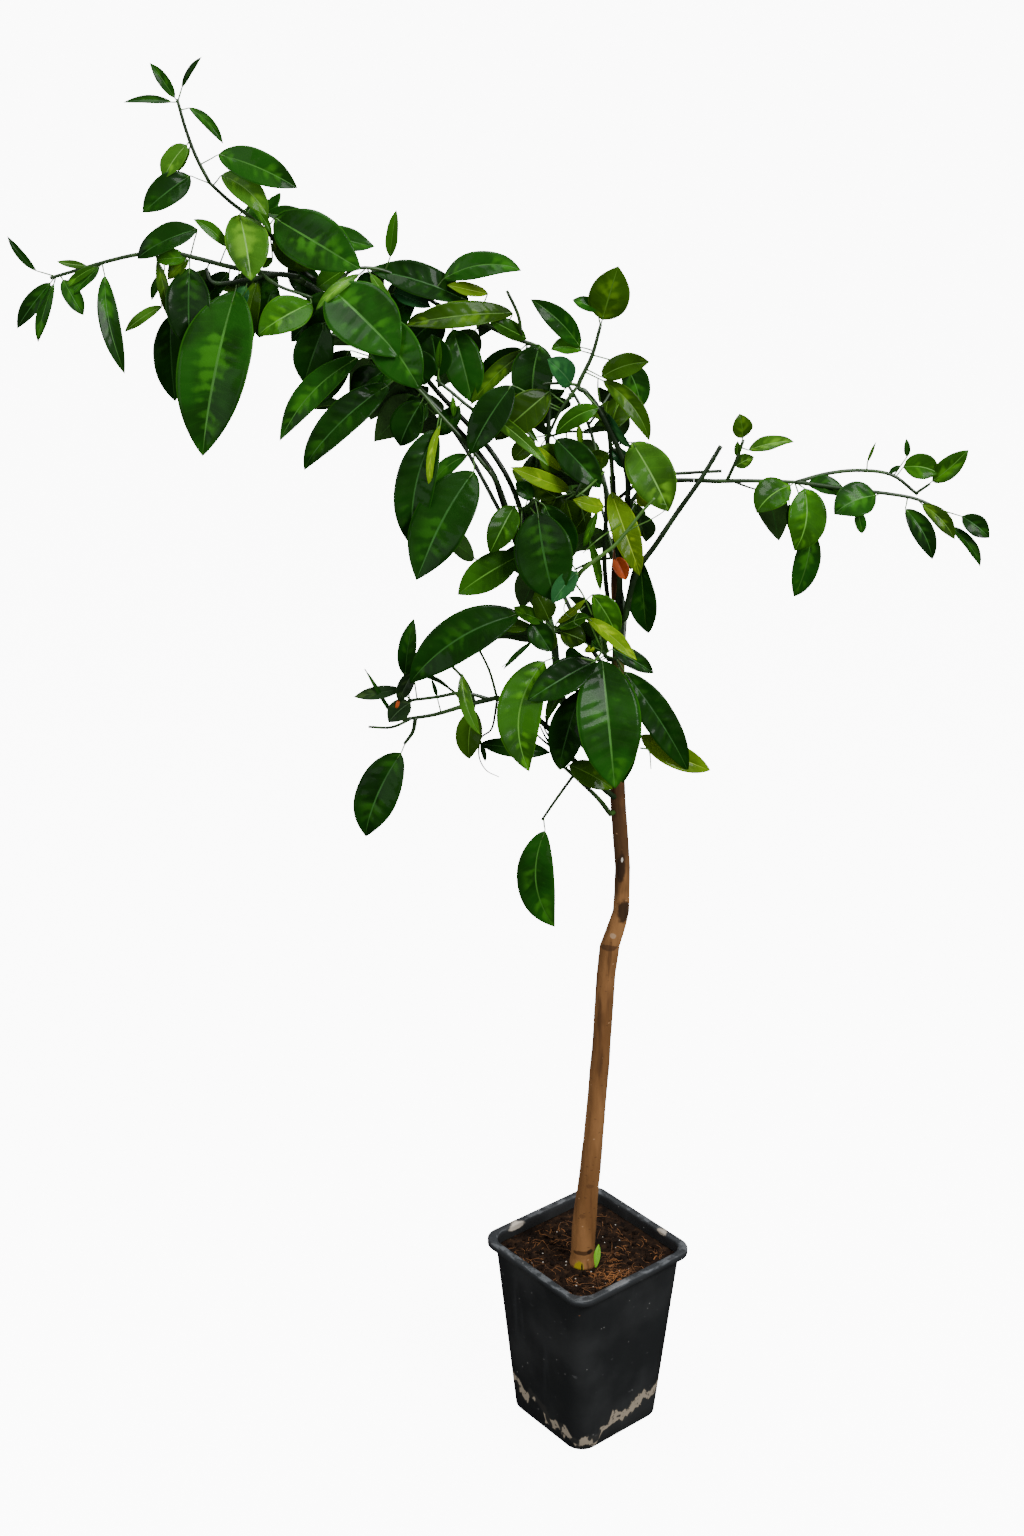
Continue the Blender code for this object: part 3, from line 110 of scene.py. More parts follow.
BOUGHS = {
    "left_leader": Bough("trunk", 69.6, 196, [
        (-1.6, -1.2, 73.4), (-3.2, -1.6, 77.6), (-3.8, -1.8, 82.4), (-5.0, -1.9, 87.2), (-6.7, -2.0, 92.2),
        (-6.6, -2.6, 94.2),
    ], 7.5, 5.2, 3.6),
    "low_cane": Bough("left_leader", 91.0, 228, [
        (-7.9, -3.0, 94.6), (-8.7, -3.3, 96.8), (-9.7, -3.5, 98.2), (-10.4, -3.5, 99.1),
    ], 3.8, 3.3),
    "long_cane": Bough("left_leader", 89.2, 168, [
        (-7.8, -1.2, 93.2), (-8.9, -1.0, 96.6), (-10.7, -0.7, 99.1), (-13.1, -0.4, 101.7),
        (-15.4, -0.1, 104.0), (-19.4, 0.6, 108.0),
        (-22.5, 0.9, 111.1), (-24.9, 1.0, 112.7), (-26.1, 1.1, 113.1),
    ], 4.8, 4.4),
    "high_cane": Bough("left_leader", 91.0, 88, [
        (-6.6, 0.8, 93.0), (-7.7, 1.3, 95.8), (-9.4, 1.9, 98.4), (-11.5, 2.4, 100.7),
        (-13.7, 2.8, 103.0), (-17.6, 3.0, 107.4), (-22.2, 3.0, 111.2),
        (-25.0, 2.7, 113.3), (-26.3, 2.8, 114.9), (-27.3, 2.8, 116.0),
    ], 4.2, 3.6),
    "mid_cane": Bough("left_leader", 91.6, 52, [
        (-4.7, -0.8, 96.4), (-4.4, -0.4, 99.6), (-4.3, 0.4, 103.3), (-4.7, 0.8, 106.0), (-5.4, 0.8, 107.3),
    ], 3.8, 3.3),
    "upright_cane": Bough("trunk", None, 0, [
        (1.9, 0.0, 84.5), (1.8, 0.0, 88.0), (1.6, 0.0, 91.0), (1.3, 0.0, 94.0), (1.0, 0.0, 98.2),
    ], 7.6, 4.4),
    "inner_cane": Bough("upright_cane", 83.6, 215, [
        (0.8, -1.0, 86.4), (0.5, -1.4, 89.8), (0.6, -1.4, 93.8), (0.4, -1.5, 96.0), (-0.3, -1.7, 97.1),
    ], 3.8, 3.0),
    "centre_cane": Bough("upright_cane", 88.6, 325, [
        (2.3, -1.1, 92.8), (2.4, -1.5, 95.6), (2.2, -1.7, 97.4), (1.6, -1.8, 99.0), (0.8, -1.9, 100.7),
        (-0.1, -2.0, 102.4), (-0.9, -2.0, 103.6), (-1.9, -2.0, 104.6),
    ], 4.4, 4.0),
    "right_cane": Bough("upright_cane", 92.6, 8, [
        (3.8, 0.5, 95.2), (6.8, 0.6, 95.9), (9.9, 0.3, 95.9),
    ], 3.8, 3.2),
    "upper_stub": Bough("upright_cane", 94.4, 345, [
        (4.1, -0.8, 96.5), (6.8, -1.0, 96.9), (10.3, -1.0, 97.1),
    ], 2.8, 2.2, 0.0, True),
    "pruned_stub": Bough("upright_cane", 83.8, 312, [
        (2.9, -1.2, 87.0), (3.6, -1.5, 89.0), (4.7, -1.8, 90.7), (6.6, -2.2, 93.9), (8.4, -2.4, 96.7),
        (10.0, -2.5, 99.6),
    ], 5.4, 3.4, 0.0, True),
    "low_left_cane": Bough("trunk", 67.2, 238, [
        (-1.6, -1.9, 70.8), (-4.6, -2.3, 74.8), (-8.7, -3.3, 77.6),
    ], 4.8, 4.2),
    "back_left_cane": Bough("trunk", 77.4, 118, [(-1.0, 3.6, 81.0), (-3.4, 7.4, 85.0)], 4.2, 3.0),
    "back_right_cane": Bough("trunk", 79.4, 72, [(2.6, 3.6, 83.0), (2.0, 6.4, 86.0)], 4.2, 3.0),
    "back_high_cane": Bough("left_leader", 87.6, 96, [
        (-8.4, 2.4, 92.6), (-11.4, 4.8, 97.6), (-14.6, 6.0, 102.0),
    ], 3.6, 2.8),
    "back_centre_cane": Bough("upright_cane", 90.0, 104, [(1.0, 3.0, 93.6), (0.0, 5.0, 97.0)], 3.4, 2.8),
}


class Leaf(NamedTuple):
    """A leaf: where it leaves its shoot (0 foot, 1 tip), its clock hand, length and width in cm, lean, tone,
    how many hours its hand turns from foot to tip, and its own stalk's hand and length where it has one."""

    at: float
    clock: float
    long: float
    wide: float
    lean: float = 10.0
    tone: str = "deep"
    sweep: float = 0.0
    stalk: tuple = ()


class Shoot(NamedTuple):
    """A twig: the twig it leaves and where, its length in cm, the clock hands and leans it runs through, its
    leaves, how many seeded leaves stand on its far side, and its diameter at the foot in mm."""

    on: str
    at: float
    long: float
    clock: tuple
    lean: tuple
    leaves: list
    spare: int = 0
    thick: float = 2.4


# Mass: the bough whose tip, or the trunk height in cm where, its stem begins, and its shoots, stem first
MASSES = {
    "skirt": (80.4, {
        "stem": Shoot("", 0, 3.4, (9.3, 11.6), (74, 24), [
            Leaf(0.66, 5.8, 11.1, 5.7, 24, "mid", -0.2, (7.9, 0.5)),
            Leaf(0.76, 8.2, 8.1, 3.1, 24, "deep", -0.2), Leaf(0.03, 4.9, 12.2, 3, 6, "deep", 0.3),
            Leaf(0.03, 3.9, 7.2, 2.3, 2, "lime", -0.6, (5.4, 7.5)), Leaf(0.33, 5.8, 11.7, 3.7, 0),
            Leaf(0.5, 6.5, 7.5, 3.3, 8, "deep", 0, (7.4, 3.7)),
            Leaf(0.98, 4.2, 5.5, 1.4, 24, "lime", 0.2, (11.3, 4)),
            Leaf(0.98, 8.5, 1, 0.7, 20, "lime", 0, (10, 0.8)), Leaf(0.98, 10.6, 1.4, 1.5),
            Leaf(0.81, 4, 4.2, 1.7, 4, "deep", 0.2, (1.7, 0.8)),
        ], 5, 3),
    }),
    "waist": (74.4, {
        "stem": Shoot("", 0, 11.6, (10.7, 10.7, 10.6, 11.6, 12.2), (22, 27, 10, 4, -2), [
            Leaf(0.98, 8, 11.2, 4, 12, "deep", -1.2, (10, 3.5)),
            Leaf(0.77, 6.3, 9.6, 4, 26, "bright", -2.4, (8.5, 1.1)),
            Leaf(0.9, 7.6, 3.4, 0.5, 14, "deep", -0.4, (9.1, 2)),
            Leaf(0.98, 4.9, 3.1, 2.2, 10, "deep", 0, (9.9, 2.2)), Leaf(0.98, 6.6, 2, 1.3, 8, "olive"),
            Leaf(0.98, 3.7, 2.4, 2.4, 4, "olive", 0, (2.9, 0.5)),
            Leaf(0.98, 9, 2.7, 1.3, 4, "olive", 0, (9.4, 2.2)),
            Leaf(0.98, 9.9, 3, 1.5, 8, "bright", 0.5, (10.6, 1.3)),
            Leaf(0.98, 11.1, 2.8, 2.1, -6, "olive", 0, (11.2, 1)),
            Leaf(0.98, 1.5, 3.5, 0.7, 14, "lime", -0.6, (0.5, 0.8)),
            Leaf(0.98, 2.1, 3.5, 1.4, 14, "bright", 0.5),
            Leaf(0.98, 5, 4.3, 2.4, 2, "bright", 0.4, (1.5, 4.6)), Leaf(0.53, 6.9, 4.3, 1.4, -4, "bright"),
        ], 4, 3),
    }),
    "middle": ("left_leader", {
        "stem": Shoot("", 0, 2, (2.2, 0.9), (35, 26), [
            Leaf(0.98, 5.6, 8.7, 5, 18, "deep", -0.3),
            Leaf(0.03, 7, 4.6, 2.5, 26, "bright", -0.3, (10.1, 0.8)),
            Leaf(0.03, 8, 6.2, 3, 12, "bright", -0.3, (6.1, 3.9)),
            Leaf(0.5, 7.4, 3.4, 1.7, 22, "teal", -0.5, (4.7, 6.9)),
            Leaf(0.98, 5.2, 5.6, 3, -8, "deep", 0, (4.2, 0.9)), Leaf(0.94, 10.4, 2.2, 1.5, -4),
        ], 3, 2.6),
    }),
    "left_arm": ("long_cane", {
        "stem": Shoot("", 0, 19.6, (9.1, 9.4, 9.6, 8.7, 8.5, 8.5), (-3, 2, 6, 7, 7, 9), [
            Leaf(0.2, 6.4, 15.9, 6.3, 24, "mid", 0.1), Leaf(0.41, 6, 7.6, 3.8, 18, "deep", -0.2),
            Leaf(0.42, 6, 7.1, 3, 2, "deep", -0.3, (6.6, 5.1)),
            Leaf(0.98, 10.8, 3.5, 0.7, 5, "deep", 0.6, (9.6, 1.6)),
            Leaf(0.98, 7.3, 5.3, 1.6, 10, "deep", -0.2), Leaf(0.98, 6.6, 5.6, 1.1, 14, "mid", -0.4),
            Leaf(0.96, 5, 3.7, 1.6, 12, "mid", -0.3), Leaf(0.83, 9.3, 2.7, 0.7, 4, "pale", 0.6),
            Leaf(0.78, 7.9, 3.8, 0.8, 12, "bright", -0.4), Leaf(0.77, 7.6, 3.9, 1.2, 16, "mid", 0.8),
            Leaf(0.78, 5.6, 9.2, 1.8, 18, "mid", -0.9),
            Leaf(0.55, 7.9, 3.7, 1.1, 8, "pale", -0.3, (5.9, 4.3)),
            Leaf(0.55, 5.7, 5.3, 1, 8, "olive", 0.6), Leaf(0.41, 8.9, 2.8, 1.5, 15, "bright", 0.4),
            Leaf(0.41, 8.2, 5.5, 2.6, 8, "deep", -0.1, (0.6, 2.4)),
            Leaf(0.28, 10.4, 3.4, 1.1, 8, "bright", -1, (0.8, 1.6)),
            Leaf(0.15, 6.9, 2.3, 1.4, 16, "teal", 0, (6.5, 1.3)),
            Leaf(0.12, 6.3, 6.4, 1.8, 6, "olive", -0.8),
            Leaf(0.19, 9.8, 2.8, 1.2, -4, "olive", 0.4, (6.5, 1.8)), Leaf(0.04, 6.6, 5.7, 2.7, -6),
            Leaf(0.24, 7.4, 3.3, 1.8, -4, "deep", 0, (6.4, 0.5)), Leaf(0.4, 7.6, 2.7, 1.4, 4, "olive"),
            Leaf(0.03, 7.6, 2, 2.2, -6), Leaf(0.52, 6.9, 2.8, 0.8, -6, "deep", 0, (6, 1.5)),
        ], 5, 4.4),
        "green_twig": Shoot("stem", 0.11, 5.8, (3.8, 3.8, 3.6, 3.5), (60, 43, 10, 12), [
            Leaf(0.98, 8.1, 5.2, 3.6, 22, "bright", 0.3, (5.6, 0.5)),
        ], 0, 2.6),
    }),
    "crest": ("high_cane", {
        "stem": Shoot("", 0, 6.6, (10.7, 10.2, 10.4, 10.5), (10, 5, 4, 4), [
            Leaf(0.98, 7.8, 4.9, 2.7, 20, "deep", 0.1, (9.8, 1.8)),
            Leaf(0.94, 4.3, 5.1, 2.2, 15, "pale", 1.3, (1.4, 1.2)),
            Leaf(0.46, 4.8, 3.1, 0.7, 16, "bright", 0.8, (1.4, 1)),
            Leaf(0.49, 5.6, 5.7, 3.8, 28, "pale", 0, (7.4, 0.4)),
            Leaf(0.12, 3.9, 8.7, 4.6, 22, "mid", -0.2, (1.4, 1.5)),
            Leaf(0.03, 3.5, 5.3, 2.2, -2, "mid", -0.6, (2.8, 3.5)),
            Leaf(0.23, 3.4, 4.5, 1.8, -2, "mid", 0.3, (1.4, 1.1)),
            Leaf(0.03, 7.5, 1.2, 0.7, 20, "bright", 0, (5.8, 1.9)),
            Leaf(0.03, 4, 4.2, 2.7, 4, "olive", -0.3, (5.3, 0.5)),
            Leaf(0.03, 7.9, 2.9, 2, 4, "bright", 0, (3.8, 6.7)),
            Leaf(0.03, 4.8, 4.1, 2.5, -10, "deep", 0, (4.9, 2.8)),
        ], 4, 3.4),
        "leader": Shoot("stem", 1, 7, (11.1, 11.2, 11.4, 11.6, 11.5), (7, 4, 2, 4, 0), [
            Leaf(0.98, 10.9, 3.7, 1, 8, "mid"), Leaf(0.98, 9, 4.3, 0.8, 8, "deep", -0.6),
            Leaf(0.98, 1.2, 2.9, 0.6, 5, "deep", 0, (0.7, 1.2)),
            Leaf(0.89, 4.5, 3.9, 0.9, 12, "mid", 1, (2.6, 0.8)),
            Leaf(0.54, 7.2, 3.8, 1.9, 18, "pale", -0.6), Leaf(0.49, 7, 2.5, 0.7, 4, "bright", 0.6),
            Leaf(0.25, 3.7, 7, 2.8, 10, "mid", 0.3, (2.1, 1.8)),
        ], 0, 2.6),
    }),
    "left_drape": ("low_cane", {
        "stem": Shoot("", 0, 11.3, (10.7, 10.6, 10.6, 10.7, 10.2, 10), (-6, 2, -5, -10, -4, -12), [
            Leaf(0.03, 7, 10.3, 5, 26, "deep", -0.2, (6, 1.6)), Leaf(0.04, 7.7, 4.6, 1.4, 14, "mid", -1.4),
            Leaf(0.4, 6.4, 11.2, 3.5, 14, "deep", -1), Leaf(0.38, 6.3, 6.4, 0.7, 26, "lime", -0.8),
            Leaf(0.58, 6.9, 4.7, 3.1, 2, "deep", -0.3), Leaf(0.81, 7.6, 11.5, 3, 16, "deep", -0.4),
            Leaf(0.98, 7.5, 9.3, 2.4, 12, "mid", -1.1, (9.2, 1.9)),
            Leaf(0.98, 6.7, 5.4, 3.3, -2, "deep", 0, (10.1, 5.4)),
            Leaf(0.98, 7.2, 5.8, 2.8, -6, "deep", 0, (9.5, 2.7)),
            Leaf(0.84, 8.6, 2.4, 1, 6, "mid", 0, (7.1, 0.8)),
            Leaf(0.98, 4.8, 6.9, 4, 20, "mid", 0.2, (11.7, 3.9)),
            Leaf(0.81, 5.5, 3.1, 2.8, -2, "deep", 0, (1.1, 2.2)), Leaf(0.52, 7.6, 2.5, 2.8, -10),
            Leaf(0.91, 7.5, 4.5, 3, -6),
        ], 6, 3.2),
        "twig_b": Shoot("stem", 0, 8, (13.6, 12.3, 10.7, 10.3, 10.3, 10.3), (-17, -16, -3, -3, -5, -3), [
            Leaf(0.98, 0.1, 2.4, 0.5, 10, "bright", 0, (0.2, 1.1)),
            Leaf(0.52, 4.2, 7.9, 1.2, 18, "pale", 0.6, (1.4, 0.5)),
            Leaf(0.34, 4.6, 3.3, 0.7, 10, "bright", 0, (2.2, 2.6)), Leaf(0.79, 5.9, 2, 0.5, 8, "bright"),
            Leaf(0.65, 7.2, 3.7, 1.8, -8), Leaf(0.95, 11.7, 4, 2.8, -6),
        ], 0, 2.6),
    }),
    "high_fringe": ("mid_cane", {
        "stem": Shoot("", 0, 19, (9.6, 9.9, 9.7, 10.4, 9.3, 7), (10, 2, 5, 0, 18, 10), [
            Leaf(0.83, 7.8, 5.4, 0.9, 26, "pale", -0.4), Leaf(0.82, 4.8, 3.8, 0.9, 20, "pale", -0.2),
            Leaf(0.74, 0.3, 3.8, 1.1, 5, "bright", -0.2, (0.7, 1.3)),
            Leaf(0.52, 2.7, 6.6, 2.4, 10, "mid", 1.2, (1.3, 2.1)),
            Leaf(0.29, 9.5, 3.5, 1.2, 14, "lime", 0.6, (0.7, 2.6)),
            Leaf(0.16, 8.9, 9.2, 2.4, 16, "olive", 0.1, (0.8, 2)),
            Leaf(0.35, 9.6, 8.6, 3.1, 2, "deep", -0.1, (0.7, 1.2)),
            Leaf(0.37, 5.5, 6.2, 3.3, 10, "mid", 0.2, (6.8, 1.4)),
            Leaf(0.06, 10, 3.8, 1.7, 18, "bright", 0.4, (1.2, 0.4)),
            Leaf(0.03, 6.2, 5.6, 3.7, 24, "mid", -0.6, (3.1, 0.9)),
            Leaf(0.04, 7.6, 6.1, 2.3, -2, "deep", -0.4),
            Leaf(0.04, 7.6, 6.4, 1.6, 16, "olive", -0.5, (6.6, 0.7)),
            Leaf(0.68, 3.7, 3.3, 1.6, 4, "teal", 0, (6.7, 1.2)),
            Leaf(0.98, 4.3, 8.5, 5.7, 32, "mid", 0, (7.8, 0.5)),
            Leaf(0.44, 7.6, 3.9, 2.8, -6, "deep", 0, (6.9, 0.8)), Leaf(0.56, 7.7, 5.3, 3, -8),
            Leaf(0.98, 7.4, 5.6, 2.6, -6, "deep", 0, (6.5, 0.6)), Leaf(0.73, 7.6, 3.5, 2.5, -6),
        ], 6, 3.2),
        "spur": Shoot("stem", 0.07, 4.7, (12.1, 11.7, 11.2, 11.2), (31, 20, 7, 8), [], 0, 2.6),
    }),
    "centre_top": ("centre_cane", {
        "stem": Shoot("", 0, 5.3, (0.4, 0.8, 0.9, 0.5, 0.1), (0, 0, 0, 0, 0), [
            Leaf(0.98, 0.5, 5.3, 3.4, 10, "olive", 0.1),
            Leaf(0.61, 10.5, 5.8, 2, 10, "mid", -0.6, (9.6, 1.2)),
            Leaf(0.98, 9.7, 2.2, 1.4, 10, "mid", 0.8, (11.6, 1.5)),
            Leaf(0.55, 9.2, 2.6, 1.6, 14, "bright", -1.6, (9.6, 1)),
            Leaf(0.03, 10.6, 3.2, 2.5, 20, "teal", 0, (9.2, 0.7)),
            Leaf(0.29, 2.3, 4.2, 2.1, 14, "olive", 0.9, (3.8, 1.5)),
            Leaf(0.52, 5.3, 4.1, 2.5, 0, "mid", 1, (3.5, 2.7)),
            Leaf(0.23, 4.7, 6.3, 1.7, 10, "olive", 1.4, (3.8, 1.7)),
        ], 4, 4),
        "low_twig": Shoot("stem", 0, 4.9, (7.4, 6.7), (9, 10), [
            Leaf(0.51, 7.1, 6.6, 3.1, 8, "deep", -0.3, (9.9, 4.6)),
            Leaf(0.56, 7, 4.5, 2.8, -2, "olive", 0, (9.8, 3.4)),
            Leaf(0.41, 7.7, 5.7, 3, 8, "olive", 0, (10.3, 1.7)),
            Leaf(0.98, 7.4, 2.8, 1.7, -8, "olive", 0, (8.6, 1.2)),
            Leaf(0.96, 4.5, 6.3, 2.8, 14, "deep", 0.2), Leaf(0.17, 6.6, 0.4, 0.7, 12),
            Leaf(0.98, 4.8, 2.9, 2.5, -6, "olive", 0, (7.1, 1.2)),
        ], 0),
        "side_twig": Shoot("stem", 0, 3, (9.4, 8.8), (7, 8), [
            Leaf(0.03, 8, 4.2, 1.7, 10, "bright", -1.6, (4.6, 2.5)),
        ], 0, 2.2),
    }),
    "centre_mid": ("inner_cane", {
        "stem": Shoot("", 0, 2.5, (8.6, 6.5), (15, 8), [
            Leaf(0.98, 9.9, 6.7, 1.5, 22, "lime", 0.4),
            Leaf(0.98, 10.1, 4.5, 2.3, 4, "olive", 0, (8.5, 1.8)),
            Leaf(0.96, 9.7, 3.1, 1.4, 26, "lime", 0.9, (3.8, 2.7)),
            Leaf(0.65, 10.4, 4, 0.8, 14, "lime", -0.3, (10.1, 2.2)), Leaf(0.51, 11, 3, 1.8, -4, "teal"),
            Leaf(0.98, 7.1, 2.8, 1.9, -6, "olive", 0, (4.7, 1.9)),
            Leaf(0.98, 6.7, 3.3, 0.7, 8, "bright", 0, (4.4, 2.4)),
            Leaf(0.98, 5.6, 4.7, 0.8, 0, "bright", 0.3, (5.5, 4.3)),
            Leaf(0.03, 11.8, 1.8, 0.6, -6, "olive", 0, (11, 2.7)),
            Leaf(0.98, 6.8, 3.1, 2.2, -12, "olive", 0, (9.2, 1.4)),
            Leaf(0.98, 5.5, 2.7, 2, -8, "olive", 0, (7.8, 1.1)),
        ], 4, 2.8),
    }),
    "centre_right": ("upright_cane", {
        "stem": Shoot("", 0, 4.8, (11.9, 11.7, 11.5, 11.5), (22, 18, 15, 16), [
            Leaf(0.98, 4.8, 4.2, 1.1, 10, "teal", -0.2), Leaf(0.25, 5, 6.7, 3.9, 22, "pale", 0.2, (2.6, 2)),
            Leaf(0.03, 5.3, 7.6, 2.4, 24, "lime", -0.3, (6, 3.2)), Leaf(0.21, 4.6, 2.6, 1.4, 4, "teal"),
            Leaf(0.12, 7.4, 2.5, 1.9, -8, "olive"),
        ], 4, 3.4),
        "drop_twig": Shoot("stem", 0.18, 10.3, (3.6, 4.5, 5.9, 5.8, 5.9, 6), (24, 22, 7, -2, -12, -17), [
            Leaf(0.98, 5.8, 8, 2.8, 8, "mid", 0.5), Leaf(0.42, 4, 2.2, 2.9, 6, "lime", 0.2),
        ], 0),
    }),
    "right_arm": ("right_cane", {
        "stem": Shoot("", 0, 7, (2.9, 3.1), (6, -1), [
            Leaf(0.98, 7.9, 4.4, 3, 24, "bright", -1), Leaf(0.98, 6.3, 5.4, 3.5, 20, "bright", 1.3, (4, 1)),
            Leaf(0.98, 6.4, 6.1, 2.3, 4, "mid", 0.9, (5.3, 4.4)),
            Leaf(0.92, 5.6, 2.9, 1.2, -8, "deep", 0, (5.9, 2.1)),
        ], 1, 3.4),
        "upshoot": Shoot("stem", 0.14, 3.9, (12.6, 12.7, 12.9, 11.6), (16, 11, 0, 0), [
            Leaf(0.98, 11.7, 2.5, 1.8, 8, "olive"), Leaf(0.38, 2, 2, 1.3, 10, "pale"),
            Leaf(0.83, 2.5, 3.9, 1.4, 12, "pale", 0.4, (3.5, 0.7)), Leaf(0.6, 12, 1.5, 0.6, 4, "bright"),
        ], 0, 2.6),
        "upper": Shoot("stem", 1, 11.1, (2.3, 2.8, 2.9, 3.6, 4.8), (-7, -9, 0, 7, 3), [
            Leaf(0.56, 0.6, 1.9, 0.3, 5, "pale", 0, (12, 0.8)), Leaf(0.72, 1.7, 1.3, 0.5, 5),
            Leaf(0.79, 3.3, 3.1, 2.3, 6, "bright", 1.3, (1.1, 1.1)),
            Leaf(0.77, 11.8, 1.6, 0.6, 5, "mid", 0, (1, 2)),
        ], 1, 3),
        "lower": Shoot("stem", 1, 12.9, (3.2, 3.2, 3.2, 3.4, 4.1), (11, 7, 2, -1, 0), [
            Leaf(0.04, 3.6, 3.9, 1.7, 2, "mid", 1.6), Leaf(0.57, 8.4, 4.7, 3.2, 20, "mid", -0.8),
            Leaf(0.42, 5.5, 2, 1.1, 5, "mid", 0, (6.1, 1.8)),
            Leaf(0.75, 5, 4.9, 1.9, 15, "deep", 1, (6.3, 1)), Leaf(0.81, 4.5, 4.6, 1.5, 16, "olive", 0.8),
            Leaf(0.98, 4.7, 4.3, 1.2, 10, "deep", 0.7, (4.8, 1.8)),
            Leaf(0.98, 4.2, 3, 1.8, 10, "deep", 0.3, (3.5, 2)),
        ], 2, 3.2),
        "fork": Shoot("upper", 1, 1.4, (1.8, 1.8), (0, 0), [
            Leaf(0.84, 1.4, 4.6, 1.9, 12, "bright", -0.8),
        ], 0, 2.2),
    }),
    "low_left": ("low_left_cane", {
        "stem": Shoot("", 0, 8.5, (8.6, 8.5, 8.4, 9), (3, 4, 1, -1), [
            Leaf(0.61, 11.5, 1.7, 0.4, 5, "deep", 0, (11.6, 1.6)),
            Leaf(0.24, 6.2, 5, 2.4, 12, "olive", -0.8),
            Leaf(0.28, 3.3, 6.3, 1.7, -4, "deep", 0, (5.6, 3.9)),
            Leaf(0.28, 5.6, 1.8, 0.5, 8, "deep", 0, (5.5, 3.5)),
        ], 2, 4.2),
        "upper_twig": Shoot("stem", 0.07, 7.3, (10.2, 8.9, 8.5, 9), (11, 2, -2, 2), [
            Leaf(0.98, 0.3, 5.3, 1.7, 2, "deep", 0.1, (11.7, 2.3)),
            Leaf(0.98, 8.7, 4.1, 1.2, 2, "dull", 0, (10.7, 1.3)),
            Leaf(0.94, 7.7, 2.9, 1.9, 18, "dull", -0.6), Leaf(0.91, 6.9, 3, 1.4, 6, "dull", 0, (11.8, 2.7)),
            Leaf(0.98, 11.1, 4.8, 0.4, 2, "deep", 0, (7.8, 2.2)),
            Leaf(0.34, 5.4, 5.5, 1.2, 22, "pale", -1.1, (11.9, 2.2)),
        ], 0, 3),
        "steep_twig": Shoot("stem", 0.23, 4.4, (11.6, 10.4), (8, 2), [], 0),
        "thin_twig": Shoot("stem", 0, 5.6, (11.7, 11), (8, 3), [], 0, 1.8),
        "drop_twig": Shoot("stem", 0.86, 2.7, (6, 7.5), (0, 0), [
            Leaf(0.94, 6.8, 9.4, 4, 10, "deep", -0.6),
        ], 0, 3.4),
        "curl_twig": Shoot("stem", 0.89, 4, (7.3, 8.6, 9.1, 8.9), (16, 9, 1, 0), [], 0, 2.2),
    }),
    "low_hang": (65.6, {
        "stem": Shoot("", 0, 8.1, (11, 11, 10.7, 10.7, 10.3), (29, 28, 20, 15, 13), [
            Leaf(0.93, 3.9, 4.4, 2.3, 10, "olive", 0.3, (1.4, 0.5)),
        ], 0, 4.4),
        "drop_twig": Shoot("stem", 0.79, 4.9, (7.3, 7), (20, -6), [
            Leaf(0.98, 5.8, 10.1, 3.4, 10, "mid", -2.1),
        ], 0, 2.2),
    }),
    "back_left": ("back_left_cane", {
        "stem": Shoot("", 0, 8.0, (10.5, 11.2), (-40, -25), [], 7),
        "side_twig": Shoot("stem", 0.4, 7.0, (8.6, 8.2), (-30, -20), [], 3, 1.8),
        "far_twig": Shoot("stem", 0.5, 5.0, (2.0, 1.4), (-60, -40), [], 3, 1.8),
    }),
    "back_right": ("back_right_cane", {
        "stem": Shoot("", 0, 7.0, (11.6, 11.4), (-35, -20), [], 6),
        "side_twig": Shoot("stem", 0.4, 5.0, (1.6, 1.0), (-50, -30), [], 3, 1.8),
        "low_twig": Shoot("stem", 0.2, 5.0, (8.4, 7.6), (-45, -30), [], 3, 1.8),
    }),
    "back_fringe": ("back_high_cane", {
        "stem": Shoot("", 0, 11.0, (10.3, 9.6), (-25, -10), [], 8),
        "side_twig": Shoot("stem", 0.3, 7.0, (8.0, 7.4), (-20, -15), [], 3, 1.8),
        "far_twig": Shoot("stem", 0.6, 6.0, (1.0, 0.4), (-50, -40), [], 3, 1.8),
    }),
    "back_centre": ("back_centre_cane", {
        "stem": Shoot("", 0, 7.0, (11.6, 10.8), (-30, -10), [], 7),
        "side_twig": Shoot("stem", 0.4, 5.0, (1.6, 1.0), (-50, -20), [], 3, 1.8),
        "low_twig": Shoot("stem", 0.3, 5.0, (9.0, 8.0), (-40, -25), [], 3, 1.8),
    }),
}

# Leaf: shares of its length and, there, half its width as a share of its whole width
STALK = 0.12
OUTLINE = [(0.18, 0.4), (0.47, 0.5), (0.78, 0.35)]
NARROW_OUTLINE = [(0.3, 0.48), (0.7, 0.4)]
NARROW = 2.6 * CM
STALK_HALF = 0.65 * MM
THICKNESS = 0.02
LEAST_THICK = 0.8 * MM
TWIG_TIP = 2.2 * MM
BEND = (15, 45)
FOLD = (6, 17)
TURN_SPREAD = 12
ROOT_SPREAD = 1.5 * MM
LEANS_TRIED = (0, 6, -6, 12, -12, 18, -18, 26)
TURNS_TRIED = (0, 22, -22, 44)
CLEAR = 0.8 * MM
SPARE_LONG = (5.0, 8.0)
SPARE_WIDE = 0.44
SHADED = 0.75
SPARE_TONES = ("deep", "deep", "mid", "olive")
SPARE_TRIES = 60
SPACE = 11.0 * CM
NECK = 1.8 * CM

# The side that the stated leaves face. A seeded leaf only grows in their shade
LIT_SIDE = Vector((0.0, -0.93, 0.37))


def aim(clock, lean):
    """The unit vector of a clock hand that leans towards the front."""
    hand = math.radians(30 * clock)
    lean = math.radians(lean)
    return Vector((math.sin(hand) * math.cos(lean), -math.sin(lean), math.cos(hand) * math.cos(lean)))


